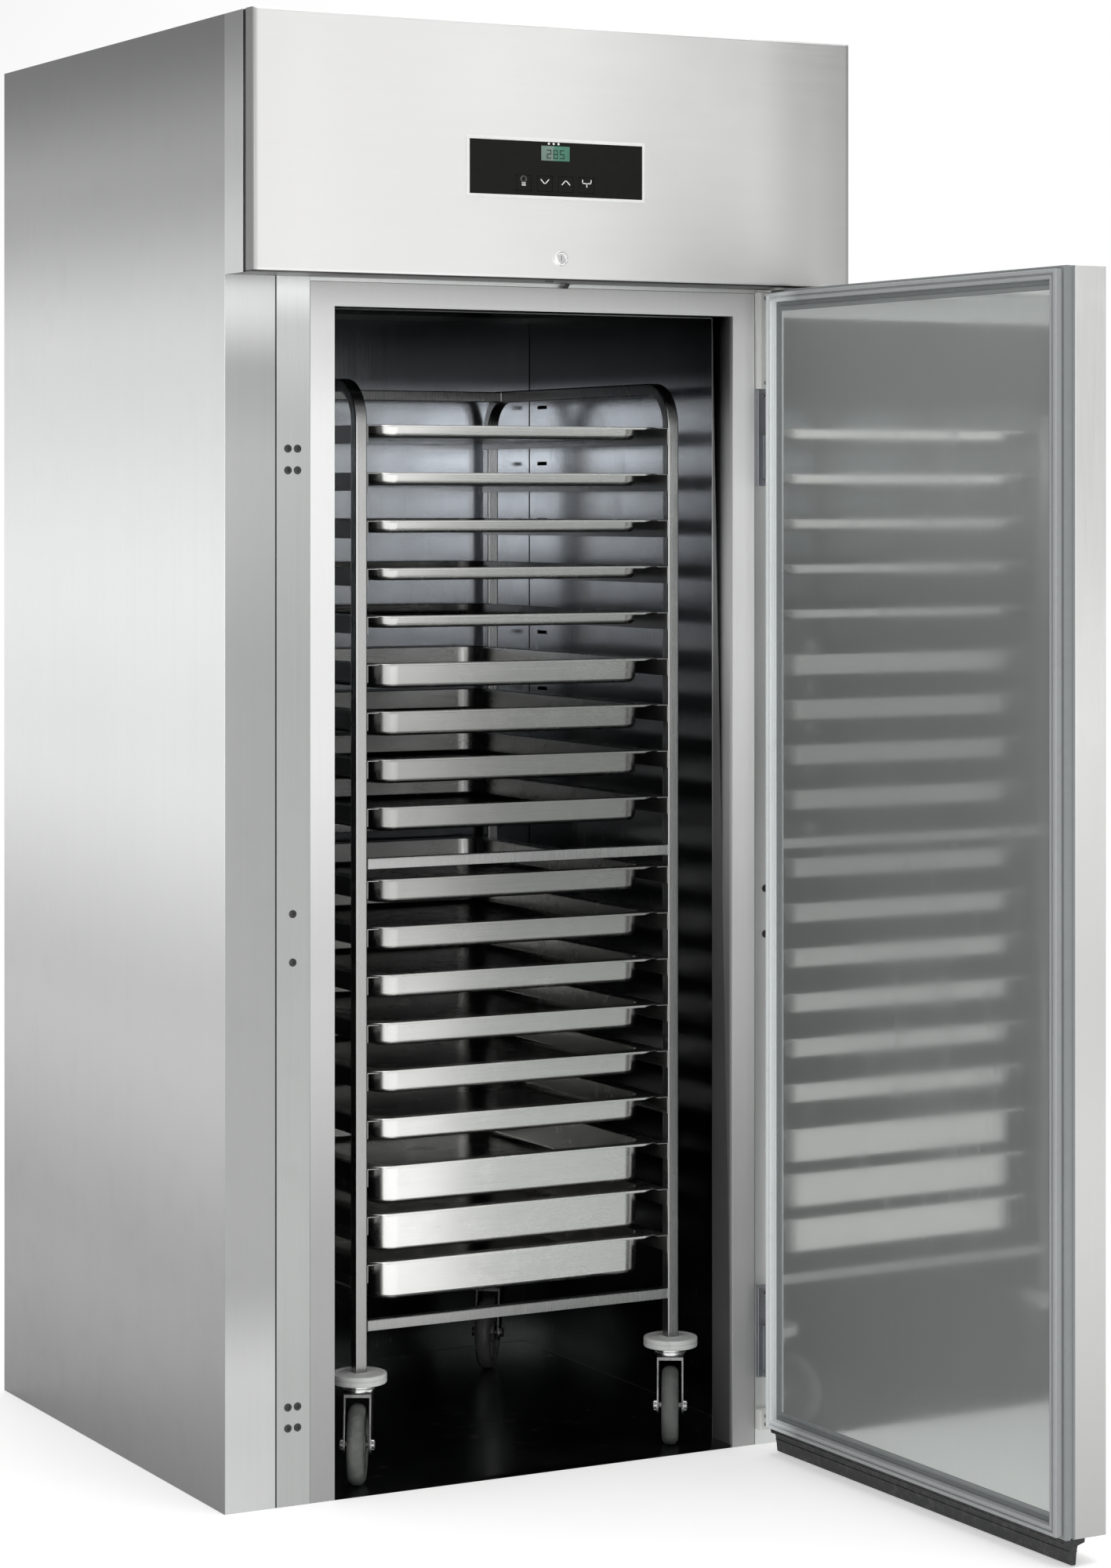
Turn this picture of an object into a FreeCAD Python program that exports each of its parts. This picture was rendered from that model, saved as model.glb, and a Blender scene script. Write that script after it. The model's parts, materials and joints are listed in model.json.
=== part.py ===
import FreeCAD, Part
import os
from math import cos, pi

# Roll-in proofing cabinet with its trolley and pans. Millimetres.
# Origin: on the floor, at the centre of the cabinet's footprint. +X to the hinge side, +Y to the back, +Z up.
# The door is drawn closed and then turned open on its hinge axis, which is its rest pose.

# Cabinet body
width = 1050.0
depth = 950.0
height = 2270.0
wall = 80.0
sheet = 1.2
left, right = -width / 2, width / 2
front, back = -depth / 2, depth / 2
side_fold = 25.0
roof_bottom = 1868.0
roof_top = roof_bottom + wall
floor_sheet = 3.0
floor_ramp = 14.0

# Doorway and its aluminium frame
doorway_x = 14.0
opening_width = 710.0
opening_top = 1832.0
frame_face = 42.0
frame_head = 38.0
frame_depth = 65.0
frame_wall = 2.5
jamb_width = 58.0
opening_left = doorway_x - opening_width / 2
opening_right = doorway_x + opening_width / 2
frame_left = opening_left - frame_face
frame_right = opening_right + frame_face
frame_top = opening_top + frame_head
seam_left = frame_left - jamb_width
seam_right = frame_right + jamb_width
seam_gap = 2.2
frame_gap = 0.8
seam_flange = 12.0
front_sheet_top = 1900.0

# Air ducts inside
bay_width = 762.0
bay_left = doorway_x - bay_width / 2
bay_right = doorway_x + bay_width / 2
duct_bottom = 185.0
duct_top = 1850.0
rear_duct_y = front + 752.0
outlet_back, outlet_length, outlet_height = 30.0, 36.0, 6.0

# Header with the controls
header_depth = 106.0
header_bottom = 1876.0
header_front = front - header_depth
cheek_depth = 68.0
header_side = 27.0
window_left, window_right = -164.0, 140.0
window_bottom, window_top = 2005.0, 2089.0
bezel_width = 5.0
bezel_proud = 2.0
lcd_x, lcd_width = -14.0, 50.0
lcd_bottom, lcd_height = 2060.0, 23.0
key_names = ["key_program", "key_down", "key_up", "key_mode"]
key_first_x, key_pitch = -70.0, 37.0
key_z, key_width, key_height = 2024.0, 26.0, 24.0
key_gap, key_thick = 0.4, 3.0

# Lock and door switch
lock_x, lock_z = -5.0, 1909.0
lock_ring, lock_barrel, plug_radius = 12.0, 9.5, 6.5
bolt_y, bolt_size, bolt_bottom = front - 69.0, 10.0, 1873.5
bolt_clearance, bolt_pocket = 2.0, 16.0
switch_x, switch_pivot_z, switch_tip_z = 59.0, 1887.0, 1868.5
switch_y = front - 10.0

# Door
door_bottom, door_top = 40.0, 1872.0
door_reveal = 8.0
door_left, door_right = frame_left + door_reveal, frame_right
door_gap = 13.5
profile_depth = 19.0
pan_depth = 57.0
profile_width = 34.0
gasket_inset, gasket_width = 5.0, 15.0
gasket_clearance = 0.5
gasket_groove = 4.0
sweep_width, sweep_bottom = 37.0, 3.0
door_inner = front - door_gap
door_split = door_inner - profile_depth
door_outer = door_split - pan_depth
cup_width, cup_height, cup_depth, cup_wall = 46.0, 190.0, 32.0, 2.0
cup_z = 1060.0
cup_inset = 34.0
cup_lip, cup_proud = 8.0, 1.6

# Door hinges
hinge_offset = 20.0
hinge_x = frame_right + hinge_offset
hinge_y = front - 43.0
knuckle_radius, pin_radius, pin_clearance = 10.0, 5.0, 0.05
hinge_levels = [(1557.0, 1640.0, 1714.0), (110.0, 193.0, 257.0)]
door_open_degrees = 91.0

# Trolley
trolley_x = 21.5
tube = 20.0
trolley_width = 582.0
trolley_front = front + 76.0
trolley_depth = 658.0
trolley_back = trolley_front + trolley_depth
rail_top = 1726.0
bend = 60.0
post_bottom = 172.0
bumper_radius, bumper_height = 44.0, 16.5
bar_levels = [235.0, 957.0]
bar_height = 17.0
runner_web, runner_lip, runner_sheet = 28.0, 20.0, 1.5

# Castors
wheel_radius, wheel_width = 62.5, 27.0
fork_gap, fork_sheet, fork_trail = 37.0, 3.0, 28.0
axle_radius, axle_clearance = 5.0, 0.1
castor_yaws = {"front_left": -30.0, "front_right": -31.0, "rear_left": -24.0, "rear_right": -38.0}

# Pans, GN 2/1
pan_width, pan_length, pan_sheet = 530.0, 650.0, 0.9
pan_inset, pan_draft, pan_corner = 21.0, 5.0, 36.0
pan_edge_drop = 4.0
upper_first, lower_first, level_pitch, levels_each = 1053.0, 340.0, 75.0, 9
pan_depths = {"pans_shallow": 20.0, "pans_medium": 40.0, "pans_deep": 65.0}

Vector = FreeCAD.Vector
X, Y, Z = Vector(1, 0, 0), Vector(0, 1, 0), Vector(0, 0, 1)


def box(x0, x1, y0, y1, z0, z1):
    return Part.makeBox(x1 - x0, y1 - y0, z1 - z0, Vector(x0, y0, z0))


def rod(radius, start, end):
    line = Vector(*end) - Vector(*start)
    return Part.makeCylinder(radius, line.Length, Vector(*start), line)


def fuse(shapes):
    return shapes[0].fuse(shapes[1:]).removeSplitter()


def group(shapes):
    return Part.makeCompound(shapes)


def extrude(points, direction):
    corners = [Vector(*point) for point in points]
    return Part.Face(Part.makePolygon(corners + corners[:1])).extrude(direction)


def rounded_wire(length_x, length_y, radius, z):
    """A rounded rectangle, centred on the Z axis."""
    a, b = length_x / 2, length_y / 2
    k = radius * (1 - cos(pi / 4))
    edges = []
    for sx, sy in ((1, 1), (-1, 1), (-1, -1), (1, -1)):
        first = Vector(sx * a, sy * (b - radius), z)
        last = Vector(sx * (a - radius), sy * b, z)
        middle = Vector(sx * (a - k), sy * (b - k), z)
        if sx * sy < 0:
            first, last = last, first
        edges.append(Part.Arc(first, middle, last).toShape())
    for i in range(4):
        start = edges[i].Vertexes[-1].Point
        end = edges[(i + 1) % 4].Vertexes[0].Point
        edges.append(Part.makeLine(start, end))
    return Part.Wire(Part.__sortEdges__(edges))


def slots(x_centres, z_centres, length, height_, y0, y1):
    """Horizontal slots through a sheet that stands across Y."""
    return group([
        box(x - length / 2, x + length / 2, y0, y1, z - height_ / 2, z + height_ / 2)
        for x in x_centres
        for z in z_centres
    ])


def spaced(start, stop, count):
    return [start + (stop - start) * i / (count - 1) for i in range(count)]


# ---------------------------------------------------------------- cabinet shell

def side_skin(side):
    """Outer side sheet, folded round the front, back and top edges; side is -1 for left, 1 for right."""
    outer = side * width / 2
    seam = seam_left if side < 0 else seam_right

    def across(a, b, *rest):
        return box(min(a, b), max(a, b), *rest)

    inner = outer - side * sheet
    fold = outer - side * side_fold
    return fuse([
        across(outer, inner, front, back, 0, height),
        across(outer, seam, front, front + sheet, 0, front_sheet_top),
        across(seam + side * 4, seam - side * seam_flange, front + sheet, front + 2 * sheet,
               0, front_sheet_top),
        across(outer, fold, back - sheet, back, 0, height),
        across(outer, fold, front, back, height - sheet, height),
    ])


def rear_skin():
    """Back sheet with air louvres at the top, and the deck that the cooling unit stands on."""
    x0, x1 = left + side_fold + frame_gap, right - side_fold - frame_gap
    back_sheet = box(x0, x1, back - sheet, back, 0, height - sheet)
    louvres = slots([-240, 240], spaced(2000, 2220, 9), 360, 10, back - 5, back + 5)
    deck = box(left + 2, right - 2, front + 3, back - sheet, roof_top, roof_top + sheet)
    return fuse([back_sheet.cut(louvres), deck])


def insulation():
    """Foam slabs of the walls, roof and door surround, each its own block."""
    skin = left + sheet
    face = front + frame_wall
    inner = back - wall
    reveal_back = front + frame_depth
    slab = wall - 2 * sheet
    return group([
        box(skin, skin + slab, face, inner, 0, roof_bottom),
        box(-skin - slab, -skin, face, inner, 0, roof_bottom),
        box(skin, -skin, inner, back - sheet, 0, roof_bottom),
        box(skin, -skin, face, back - sheet, roof_bottom, roof_top),
        box(skin + slab, opening_left - frame_wall, face, reveal_back, 0, roof_bottom),
        box(opening_right + frame_wall, -skin - slab, face, reveal_back, 0, roof_bottom),
        box(opening_left - frame_wall, opening_right + frame_wall, face, reveal_back,
            opening_top + frame_wall, roof_bottom),
    ])


def inner_liner():
    """Inner skin of the insulated walls, ceiling and door surround."""
    x0, x1 = left + wall, right - wall
    y0, y1 = front + frame_depth, back - wall
    top = roof_bottom - sheet
    return fuse([
        box(x0 - sheet, x0, y0, y1, floor_sheet, top),
        box(x1, x1 + sheet, y0, y1, floor_sheet, top),
        box(x0, x1, y1 - sheet, y1, floor_sheet, top),
        box(x0 - sheet, x1 + sheet, y0, y1, top, roof_bottom),
        box(x0, opening_left, y0, y0 + sheet, floor_sheet, top),
        box(opening_right, x1, y0, y0 + sheet, floor_sheet, top),
        box(opening_left, opening_right, y0, y0 + sheet, opening_top + frame_wall, top),
    ])


def floor_plate():
    """Thin stainless floor with a low ramp at the doorway."""
    x0, x1 = left + wall, right - wall
    ramp = extrude(
        [(opening_left, front, 0), (opening_left, front + frame_depth, 0),
         (opening_left, front + frame_depth, floor_sheet), (opening_left, front + floor_ramp, floor_sheet),
         (opening_left, front, 0.6)],
        X * opening_width,
    )
    return fuse([ramp, box(x0, x1, front + frame_depth, back - wall, 0, floor_sheet)])


def side_duct_panels():
    """Air guide panels at both sides of the bay, with outlet slots and a folded front edge."""
    y0 = front + frame_depth + 2 * sheet
    panels = []
    for x_face, x_wall, side in ((bay_left, left + wall, -1), (bay_right, right - wall, 1)):
        x_back = x_face + side * sheet
        panel = box(min(x_face, x_back), max(x_face, x_back), y0, rear_duct_y - 2, duct_bottom, duct_top)
        fold = box(min(x_back, x_wall), max(x_back, x_wall), y0, y0 + sheet, duct_bottom, duct_top)
        outlets = group([
            box(x_face - 5, x_face + 5, rear_duct_y - outlet_back - outlet_length, rear_duct_y - outlet_back,
                z - outlet_height / 2, z + outlet_height / 2)
            for z in spaced(300, 1700, 15)
        ])
        panels.append(panel.cut(outlets).fuse(fold).removeSplitter())
    return group(panels)


def duct_panel_rear():
    """Rear air guide panel with the fan's intake slots."""
    panel = box(bay_left, bay_right, rear_duct_y, rear_duct_y + sheet, duct_bottom, duct_top)
    intake = slots([doorway_x], spaced(600, 800, 9), 200, 8, rear_duct_y - 5, rear_duct_y + 5)
    folds = [
        box(x, x + sheet, rear_duct_y, rear_duct_y + 20, duct_bottom, duct_top)
        for x in (bay_left, bay_right - sheet)
    ]
    return fuse([panel.cut(intake)] + folds)


def plug_places():
    """Hole centres (x, z) on the door surround, for the hinge's other-hand position and the gaskets."""
    jamb_x = (seam_left + frame_left) / 2
    near = [(jamb_x + dx, z) for dx in (-8, 8) for z in (119, 151, 1580, 1613)]
    middle = [(x, z) for x in (jamb_x, hinge_x) for z in (829, 903)]
    return near + middle


plug_stem, plug_head, plug_proud = 4.4, 6.2, 1.6


def jamb_covers():
    """Front strips beside and above the door frame, drilled for the hole plugs."""
    gap = frame_gap / 2
    strips = [
        box(seam_left + seam_gap, frame_left - gap, front, front + sheet, 0, front_sheet_top),
        box(frame_right + gap, seam_right - seam_gap, front, front + sheet, 0, front_sheet_top),
        box(frame_left, frame_right, front, front + sheet, frame_top + gap, front_sheet_top),
    ]
    holes = [rod(plug_stem + 0.1, (x, front - 1, z), (x, front + frame_wall, z)) for x, z in plug_places()]
    return group([strip.cut(group(holes)) for strip in strips])


def hole_plugs():
    plugs = []
    for x, z in plug_places():
        head = rod(plug_head, (x, front - plug_proud, z), (x, front, z))
        rim = [e for e in head.Edges if abs(e.BoundBox.YMax - (front - plug_proud)) < 0.01]
        stem = rod(plug_stem, (x, front, z), (x, front + 1.1, z))
        plugs.append(head.makeFillet(1.2, rim[:1]).fuse(stem))
    return group(plugs)


def door_frame():
    """Two uprights and a head, aluminium angles with mitred faces."""
    y1 = front + frame_wall
    y2 = front + frame_depth
    left_face = extrude(
        [(frame_left, front, 0), (opening_left, front, 0), (opening_left, front, opening_top),
         (frame_left, front, frame_top)], Y * frame_wall)
    right_face = extrude(
        [(frame_right, front, 0), (opening_right, front, 0), (opening_right, front, opening_top),
         (frame_right, front, frame_top)], Y * frame_wall)
    head_face = extrude(
        [(frame_left, front, frame_top), (opening_left, front, opening_top),
         (opening_right, front, opening_top), (frame_right, front, frame_top)], Y * frame_wall)
    return group([
        left_face.fuse(box(opening_left - frame_wall, opening_left, y1, y2, floor_sheet, opening_top)),
        right_face.fuse(box(opening_right, opening_right + frame_wall, y1, y2, floor_sheet, opening_top)),
        head_face.fuse(box(opening_left, opening_right, y1, y2, opening_top, opening_top + frame_wall)),
    ])


# ---------------------------------------------------------------- header

def header_cheeks():
    """Side pieces that carry the header panel forward of the body."""
    y0 = front - cheek_depth
    cheeks = []
    for side in (-1, 1):
        outer = side * width / 2
        inner = outer - side * sheet
        fold = outer - side * 20
        plate = box(min(outer, inner), max(outer, inner), y0, front, header_bottom, height)
        edge = box(min(inner, fold), max(inner, fold), y0, y0 + sheet, header_bottom + 2, height)
        cheeks.append(plate.fuse(edge))
    return group(cheeks)


def header_panel():
    """Front sheet with folded sides, top and underside, cut out for the display, lock and door switch."""
    y0, y1 = header_front, header_front + header_side
    z0 = header_bottom
    shell = fuse([
        box(left, right, y0, y0 + sheet, z0, height),
        box(left, left + sheet, y0, y1, z0, height),
        box(right - sheet, right, y0, y1, z0, height),
        box(left, right, y0, y1, height - sheet, height),
        box(left + 2 * sheet, right - 2 * sheet, y1, front - cheek_depth, height - sheet, height),
        box(left + 2 * sheet, right - 2 * sheet, y0, front, z0, z0 + sheet),
    ])
    openings = [
        box(window_left, window_right, y0 - 5, y0 + 5, window_bottom, window_top),
        rod(lock_barrel + 0.1, (lock_x, y0 - 5, lock_z), (lock_x, y0 + 5, lock_z)),
        box(lock_x - 7, lock_x + 7, bolt_y - 7, bolt_y + 7, z0 - 5, z0 + 5),
        box(switch_x - 10, switch_x + 10, switch_y - 8, switch_y + 8, z0 - 5, z0 + 5),
    ]
    return shell.cut(group(openings))


def top_cover():
    """Vented lid over the machine compartment."""
    x0, x1 = left + side_fold + frame_gap, right - side_fold - frame_gap
    lid = box(x0, x1, front - cheek_depth + 2, back - sheet - frame_gap, height - sheet, height)
    vents = group([
        box(x - 6, x + 6, y - 70, y + 70, height - 5, height + 5)
        for x in spaced(-400, 400, 17)
        for y in (0, 260)
    ])
    return lid.cut(vents)


def display_bezel():
    y0, y1 = header_front - bezel_proud, header_front
    outer = box(window_left - bezel_width, window_right + bezel_width, y0, y1,
                window_bottom - bezel_width, window_top + bezel_width)
    rim = [e for e in outer.Edges if abs(e.BoundBox.YMax - y0) < 0.01 and abs(e.BoundBox.YMin - y0) < 0.01]
    hole = box(window_left, window_right, y0 - 1, y1 + 1, window_bottom, window_top)
    return outer.makeChamfer(1.0, rim).cut(hole)


def key_place(index):
    return key_first_x + index * key_pitch


def display_window():
    """Dark front plate with a recess for the screen and four key openings."""
    y0, y1 = header_front - bezel_proud / 2, header_front + 3
    gap = 0.3
    plate = box(window_left + gap, window_right - gap, y0, y1, window_bottom + gap, window_top - gap)
    cuts = [box(lcd_x - lcd_width / 2 - gap, lcd_x + lcd_width / 2 + gap, y0 - 1, y1 + 1,
                lcd_bottom - gap, lcd_bottom + lcd_height + gap)]
    for i in range(len(key_names)):
        x = key_place(i)
        cuts.append(box(x - key_width / 2 - key_gap, x + key_width / 2 + key_gap, y0 - 1, y1 + 1,
                        key_z - key_height / 2 - key_gap, key_z + key_height / 2 + key_gap))
    return plate.cut(group(cuts))


def lcd_screen():
    y0 = header_front - bezel_proud / 2 + 0.3
    return box(lcd_x - lcd_width / 2, lcd_x + lcd_width / 2, y0, header_front + 6,
               lcd_bottom, lcd_bottom + lcd_height)


def key(index):
    x = key_place(index)
    y0 = header_front - bezel_proud / 2
    cap = box(x - key_width / 2, x + key_width / 2, y0, y0 + key_thick,
              key_z - key_height / 2, key_z + key_height / 2)
    return cap.makeFillet(2.5, [e for e in cap.Edges if abs(e.BoundBox.YLength - key_thick) < 0.01])


def control_box():
    """Electronics housing behind the display."""
    shell = box(window_left + 6, window_right - 6, header_front + 8, header_front + 60,
                window_bottom - 6, window_top + 10)
    edges = [e for e in shell.Edges if abs(e.BoundBox.YLength - 52) < 0.01]
    return shell.makeFillet(6, edges)


# ---------------------------------------------------------------- lock and door switch

def lock_body():
    """Ring and barrel of the key lock."""
    ring = rod(lock_ring, (lock_x, header_front - 4, lock_z), (lock_x, header_front, lock_z))
    rim = [e for e in ring.Edges if abs(e.BoundBox.YMax - (header_front - 4)) < 0.01]
    barrel = rod(lock_barrel, (lock_x, header_front - 1, lock_z), (lock_x, header_front + 24, lock_z))
    bore = rod(plug_radius + 0.1, (lock_x, header_front - 5, lock_z), (lock_x, header_front + 25, lock_z))
    return ring.makeFillet(1.5, rim[:1]).fuse(barrel).removeSplitter().cut(bore)


def lock_plug():
    """Turning plug with its keyhole and the cam at its inner end."""
    y0, y1 = header_front - 3.4, header_front + 25
    plug = rod(plug_radius, (lock_x, y0, lock_z), (lock_x, y1, lock_z))
    cam = box(lock_x - 5, lock_x + 5, y1, y1 + 2, lock_z - 5, lock_z + 14)
    keyhole = box(lock_x - 0.9, lock_x + 0.9, y0 - 1, y0 + 6, lock_z - 4.2, lock_z + 4.2)
    return plug.fuse(cam).cut(keyhole)


def lock_bolt():
    """Square bolt that drops into the door's top edge."""
    half = bolt_size / 2
    return box(lock_x - half, lock_x + half, bolt_y - half, bolt_y + half, bolt_bottom, lock_z + 18)


def door_switch():
    """Switch housing on the header's underside, open round the lever."""
    y0, y1 = switch_y - 14, switch_y + 9
    z0, z1 = header_bottom + sheet, header_bottom + sheet + 24
    housing = box(switch_x - 12, switch_x + 12, y0, y1, z0, z1)
    chamber = box(switch_x - 8, switch_x + 8, y0 + 3, y1 - 1.5, z0 - 1, z1 - 3)
    return housing.cut(chamber)


def switch_lever():
    """Lever with a small hooked tip that the closing door pushes."""
    y0, y1 = switch_y - 2, switch_y + 2
    arm = box(switch_x - 3, switch_x + 3, y0, y1, switch_tip_z + 4, switch_pivot_z + 3)
    pivot = rod(3.5, (switch_x - 7, switch_y, switch_pivot_z), (switch_x + 7, switch_y, switch_pivot_z))
    hook = box(switch_x - 8, switch_x + 1, y0, y1, switch_tip_z, switch_tip_z + 5)
    return fuse([arm, pivot, hook])


# ---------------------------------------------------------------- machinery

def compressor():
    """Hermetic can on a foot plate."""
    x, y, z = -270.0, 200.0, roof_top + sheet
    foot = box(x - 105, x + 105, y - 75, y + 75, z, z + 8)
    can = Part.makeCylinder(80, 150, Vector(x, y, z + 8))
    dome = Part.makeSphere(110, Vector(x, y, z + 82))
    stub = rod(7, (x + 60, y, z + 110), (x + 112, y, z + 110))
    return fuse([foot, can.fuse(dome.common(Part.makeCylinder(80, 40, Vector(x, y, z + 150)))), stub])


condenser_x, condenser_y, condenser_z = 250.0, -250.0, 2100.0
condenser_fan_radius = 115.0


def condenser():
    """Finned block with a fan shroud and a motor on its back."""
    x, y, z = condenser_x, condenser_y, condenser_z
    core = box(x - 150, x + 150, y - 55, y - 10, z - 135, z + 135)
    fins = group([
        box(fx - 1.5, fx + 1.5, y - 60, y - 45, z - 130, z + 130)
        for fx in spaced(x - 144, x + 144, 37)
    ])
    shroud = box(x - 150, x + 150, y - 10, y + 36, z - 135, z + 135)
    tunnel = rod(condenser_fan_radius + 6, (x, y - 10, z), (x, y + 50, z))
    stand = box(x - 150, x + 150, y - 55, y + 36, roof_top + sheet, z - 135)
    motor = rod(32, (x, y + 38, z), (x, y + 95, z))
    strut = box(x - 150, x + 150, y + 36, y + 40, z - 8, z + 8)
    return fuse([core.cut(fins), shroud.cut(tunnel), stand, motor, strut])


def fan(x, y, z, radius, thickness, blades=5):
    """Hub and pitched blades turning about a line along Y, y being the front of the hub."""
    hub = rod(radius * 0.3, (x, y, z), (x, y + thickness, z))
    parts = [hub]
    for i in range(blades):
        blade = box(radius * 0.2, radius, -1.2, 1.2, -radius * 0.27, radius * 0.27)
        blade.rotate(Vector(0, 0, 0), X, 28)
        blade.translate(Vector(x, y + thickness / 2, z))
        blade.rotate(Vector(x, 0, z), Y, 360.0 * i / blades)
        parts.append(blade)
    limit = rod(radius, (x, y - 30, z), (x, y + thickness + 30, z))
    return fuse(parts).common(limit)


evaporator_z = 1400.0
circulation_y, circulation_z, circulation_radius = rear_duct_y + 32.0, 700.0, 110.0


def evaporator():
    """Finned cooling block in the rear duct, and the circulation fan's motor below it."""
    x0, x1 = doorway_x - 230, doorway_x + 230
    y0, y1 = rear_duct_y + 22, back - wall - 12
    block = box(x0, x1, y0, y1, evaporator_z - 150, evaporator_z + 150)
    fins = group([box(x - 2, x + 2, y0 - 1, y0 + 14, evaporator_z - 145, evaporator_z + 145)
                  for x in spaced(x0 + 10, x1 - 10, 45)])
    motor = rod(38, (doorway_x, circulation_y + 42, circulation_z), (doorway_x, y1 + 10, circulation_z))
    return group([block.cut(fins), motor])


def heater():
    """Sheathed element bent to and fro above the cooling block."""
    y = rear_duct_y + 70
    radius, turn, rows = 4.5, 20.0, 4
    x0, x1 = doorway_x - 200, doorway_x + 200
    base = evaporator_z + 180
    parts = []
    for i in range(rows):
        z = base + 2 * turn * i
        parts.append(rod(radius, (x0, y, z), (x1, y, z)))
        if i < rows - 1:
            end = x1 if i % 2 == 0 else x0
            ring = Part.makeTorus(turn, radius, Vector(end, y, z + turn), Y)
            beyond = end + 60 if end == x1 else end - 60
            half = box(min(end, beyond), max(end, beyond), y - 20, y + 20, z - 40, z + 80)
            parts.append(ring.common(half))
    return fuse(parts)


def humidifier():
    """Water boiler with the steam pipe that feeds the duct."""
    x, y = bay_right - 90, rear_duct_y + 70
    tank = box(x - 55, x + 55, y - 42, y + 42, 190, 400)
    tank = tank.makeFillet(14, [e for e in tank.Edges if abs(e.BoundBox.ZLength - 210) < 0.01])
    pipe = rod(11, (x, y, 400), (x, y, 1100))
    return tank.fuse(pipe).removeSplitter()


# ---------------------------------------------------------------- door, drawn closed

def opened(shape):
    """Turn a closed door piece to the rest pose."""
    shape.rotate(Vector(hinge_x, hinge_y, 0), Z, door_open_degrees)
    return shape


def door_rect(inset, y0, y1, inset_z=None):
    inset_z = inset if inset_z is None else inset_z
    return box(door_left + inset, door_right - inset, y0, y1, door_bottom + inset_z, door_top - inset_z)


def cup_box(grow):
    """Space of the recessed grip near the free edge."""
    x0 = door_left + cup_inset
    return box(x0 - grow, x0 + cup_width + grow, door_outer - 1, door_outer + cup_depth + grow,
               cup_z - cup_height / 2 - grow, cup_z + cup_height / 2 + grow)


def bolt_pocket_box(grow, deep):
    half = bolt_size / 2 + bolt_clearance + grow
    return box(lock_x - half, lock_x + half, bolt_y - half, bolt_y + half, door_top - deep, door_top + 1)


def door_skin():
    """Outer steel pan of the door, folded back round all four edges."""
    shell = door_rect(0, door_outer, door_split)
    hollow = door_rect(sheet, door_outer + sheet, door_split + 1)
    upright = [e for e in shell.Edges
               if e.BoundBox.ZLength > 1000 and abs(e.BoundBox.YMax - door_outer) < 0.01]
    shell = shell.makeFillet(4, upright)
    return opened(shell.cut(hollow).cut(group([cup_box(cup_wall + 0.1), bolt_pocket_box(0, 5)])))


def door_core():
    """Foam filling of the door, with the pocket that the lock bolt drops into."""
    thick = door_rect(4 * sheet, door_outer + sheet, door_split)
    thin = door_rect(profile_width + 0.5, door_split, door_inner - sheet)
    hollows = group([cup_box(cup_wall + 0.1), bolt_pocket_box(0.5, bolt_pocket)])
    return opened(fuse([thick, thin]).cut(hollows))


def door_liner():
    """Bright inner sheet of the door."""
    return opened(door_rect(profile_width, door_inner - sheet, door_inner))


def door_profile():
    """Moulded frame round the door's inner face, grooved for the gasket."""
    ring = door_rect(0, door_split, door_inner).cut(door_rect(profile_width, door_split - 1, door_inner + 1))
    middle = gasket_inset + gasket_width / 2
    groove = door_rect(middle - 2.2, door_inner - gasket_groove, door_inner + 1).cut(
        door_rect(middle + 2.2, door_inner - gasket_groove - 1, door_inner + 2))
    return opened(ring.cut(groove))


def door_gasket():
    """Magnetic gasket with a dart that presses into the profile's groove."""
    y1 = front - gasket_clearance
    middle = gasket_inset + gasket_width / 2
    bellows = door_rect(gasket_inset, door_inner, y1).cut(
        door_rect(gasket_inset + gasket_width, door_inner - 1, y1 + 1))
    dart = door_rect(middle - 2, door_inner - gasket_groove + 0.3, door_inner).cut(
        door_rect(middle + 2, door_inner - gasket_groove - 1, door_inner + 1))
    return opened(bellows.fuse(dart).removeSplitter())


def door_sweep():
    """Rubber strip under the door, a flange with a tapering blade."""
    y = door_inner
    x = door_left + 1
    z = door_bottom
    section = [
        (y, z), (y - sweep_width, z), (y - sweep_width, z - 6), (y - 23, z - 10),
        (y - 20, sweep_bottom), (y - 13, sweep_bottom), (y - 9, z - 10), (y, z - 6),
    ]
    return opened(extrude([(x, sy, sz) for sy, sz in section], X * (door_right - door_left - 2)))


def handle_cup():
    """Recessed grip, a cup with a finger lip on the edge side."""
    x0, x1 = door_left + cup_inset, door_left + cup_inset + cup_width
    z0, z1 = cup_z - cup_height / 2, cup_z + cup_height / 2
    outer = cup_box(cup_wall).common(box(left, right, door_outer, front, 0, height))
    lip = cup_lip
    rim = box(x0 - lip, x1 + lip, door_outer - cup_proud, door_outer, z0 - lip, z1 + lip)
    edges = [e for e in rim.Edges if abs(e.BoundBox.YLength - cup_proud) < 0.01]
    rim = rim.makeFillet(lip - 1, edges)
    mouth = box(x0, x1, door_outer - 2 * cup_proud, door_outer, z0, z1)
    return opened(outer.fuse(rim).removeSplitter().cut(cup_box(0).fuse(mouth)))


def hinge_leaves():
    """Door halves of the hinges, each a plate, an arm and a knuckle on the pin."""
    leaves = []
    for _, split, top in hinge_levels:
        z0 = split + 1
        plate = box(frame_right, frame_right + 3, hinge_y - 38, hinge_y + 8, z0, top)
        arm = box(frame_right, hinge_x, hinge_y - knuckle_radius, hinge_y + 6, z0, top)
        knuckle = rod(knuckle_radius, (hinge_x, hinge_y, z0), (hinge_x, hinge_y, top))
        bore = rod(pin_radius + pin_clearance, (hinge_x, hinge_y, z0 - 1), (hinge_x, hinge_y, top - 4))
        leaves.append(fuse([plate, arm, knuckle]).cut(bore))
    return opened(group(leaves))


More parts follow.
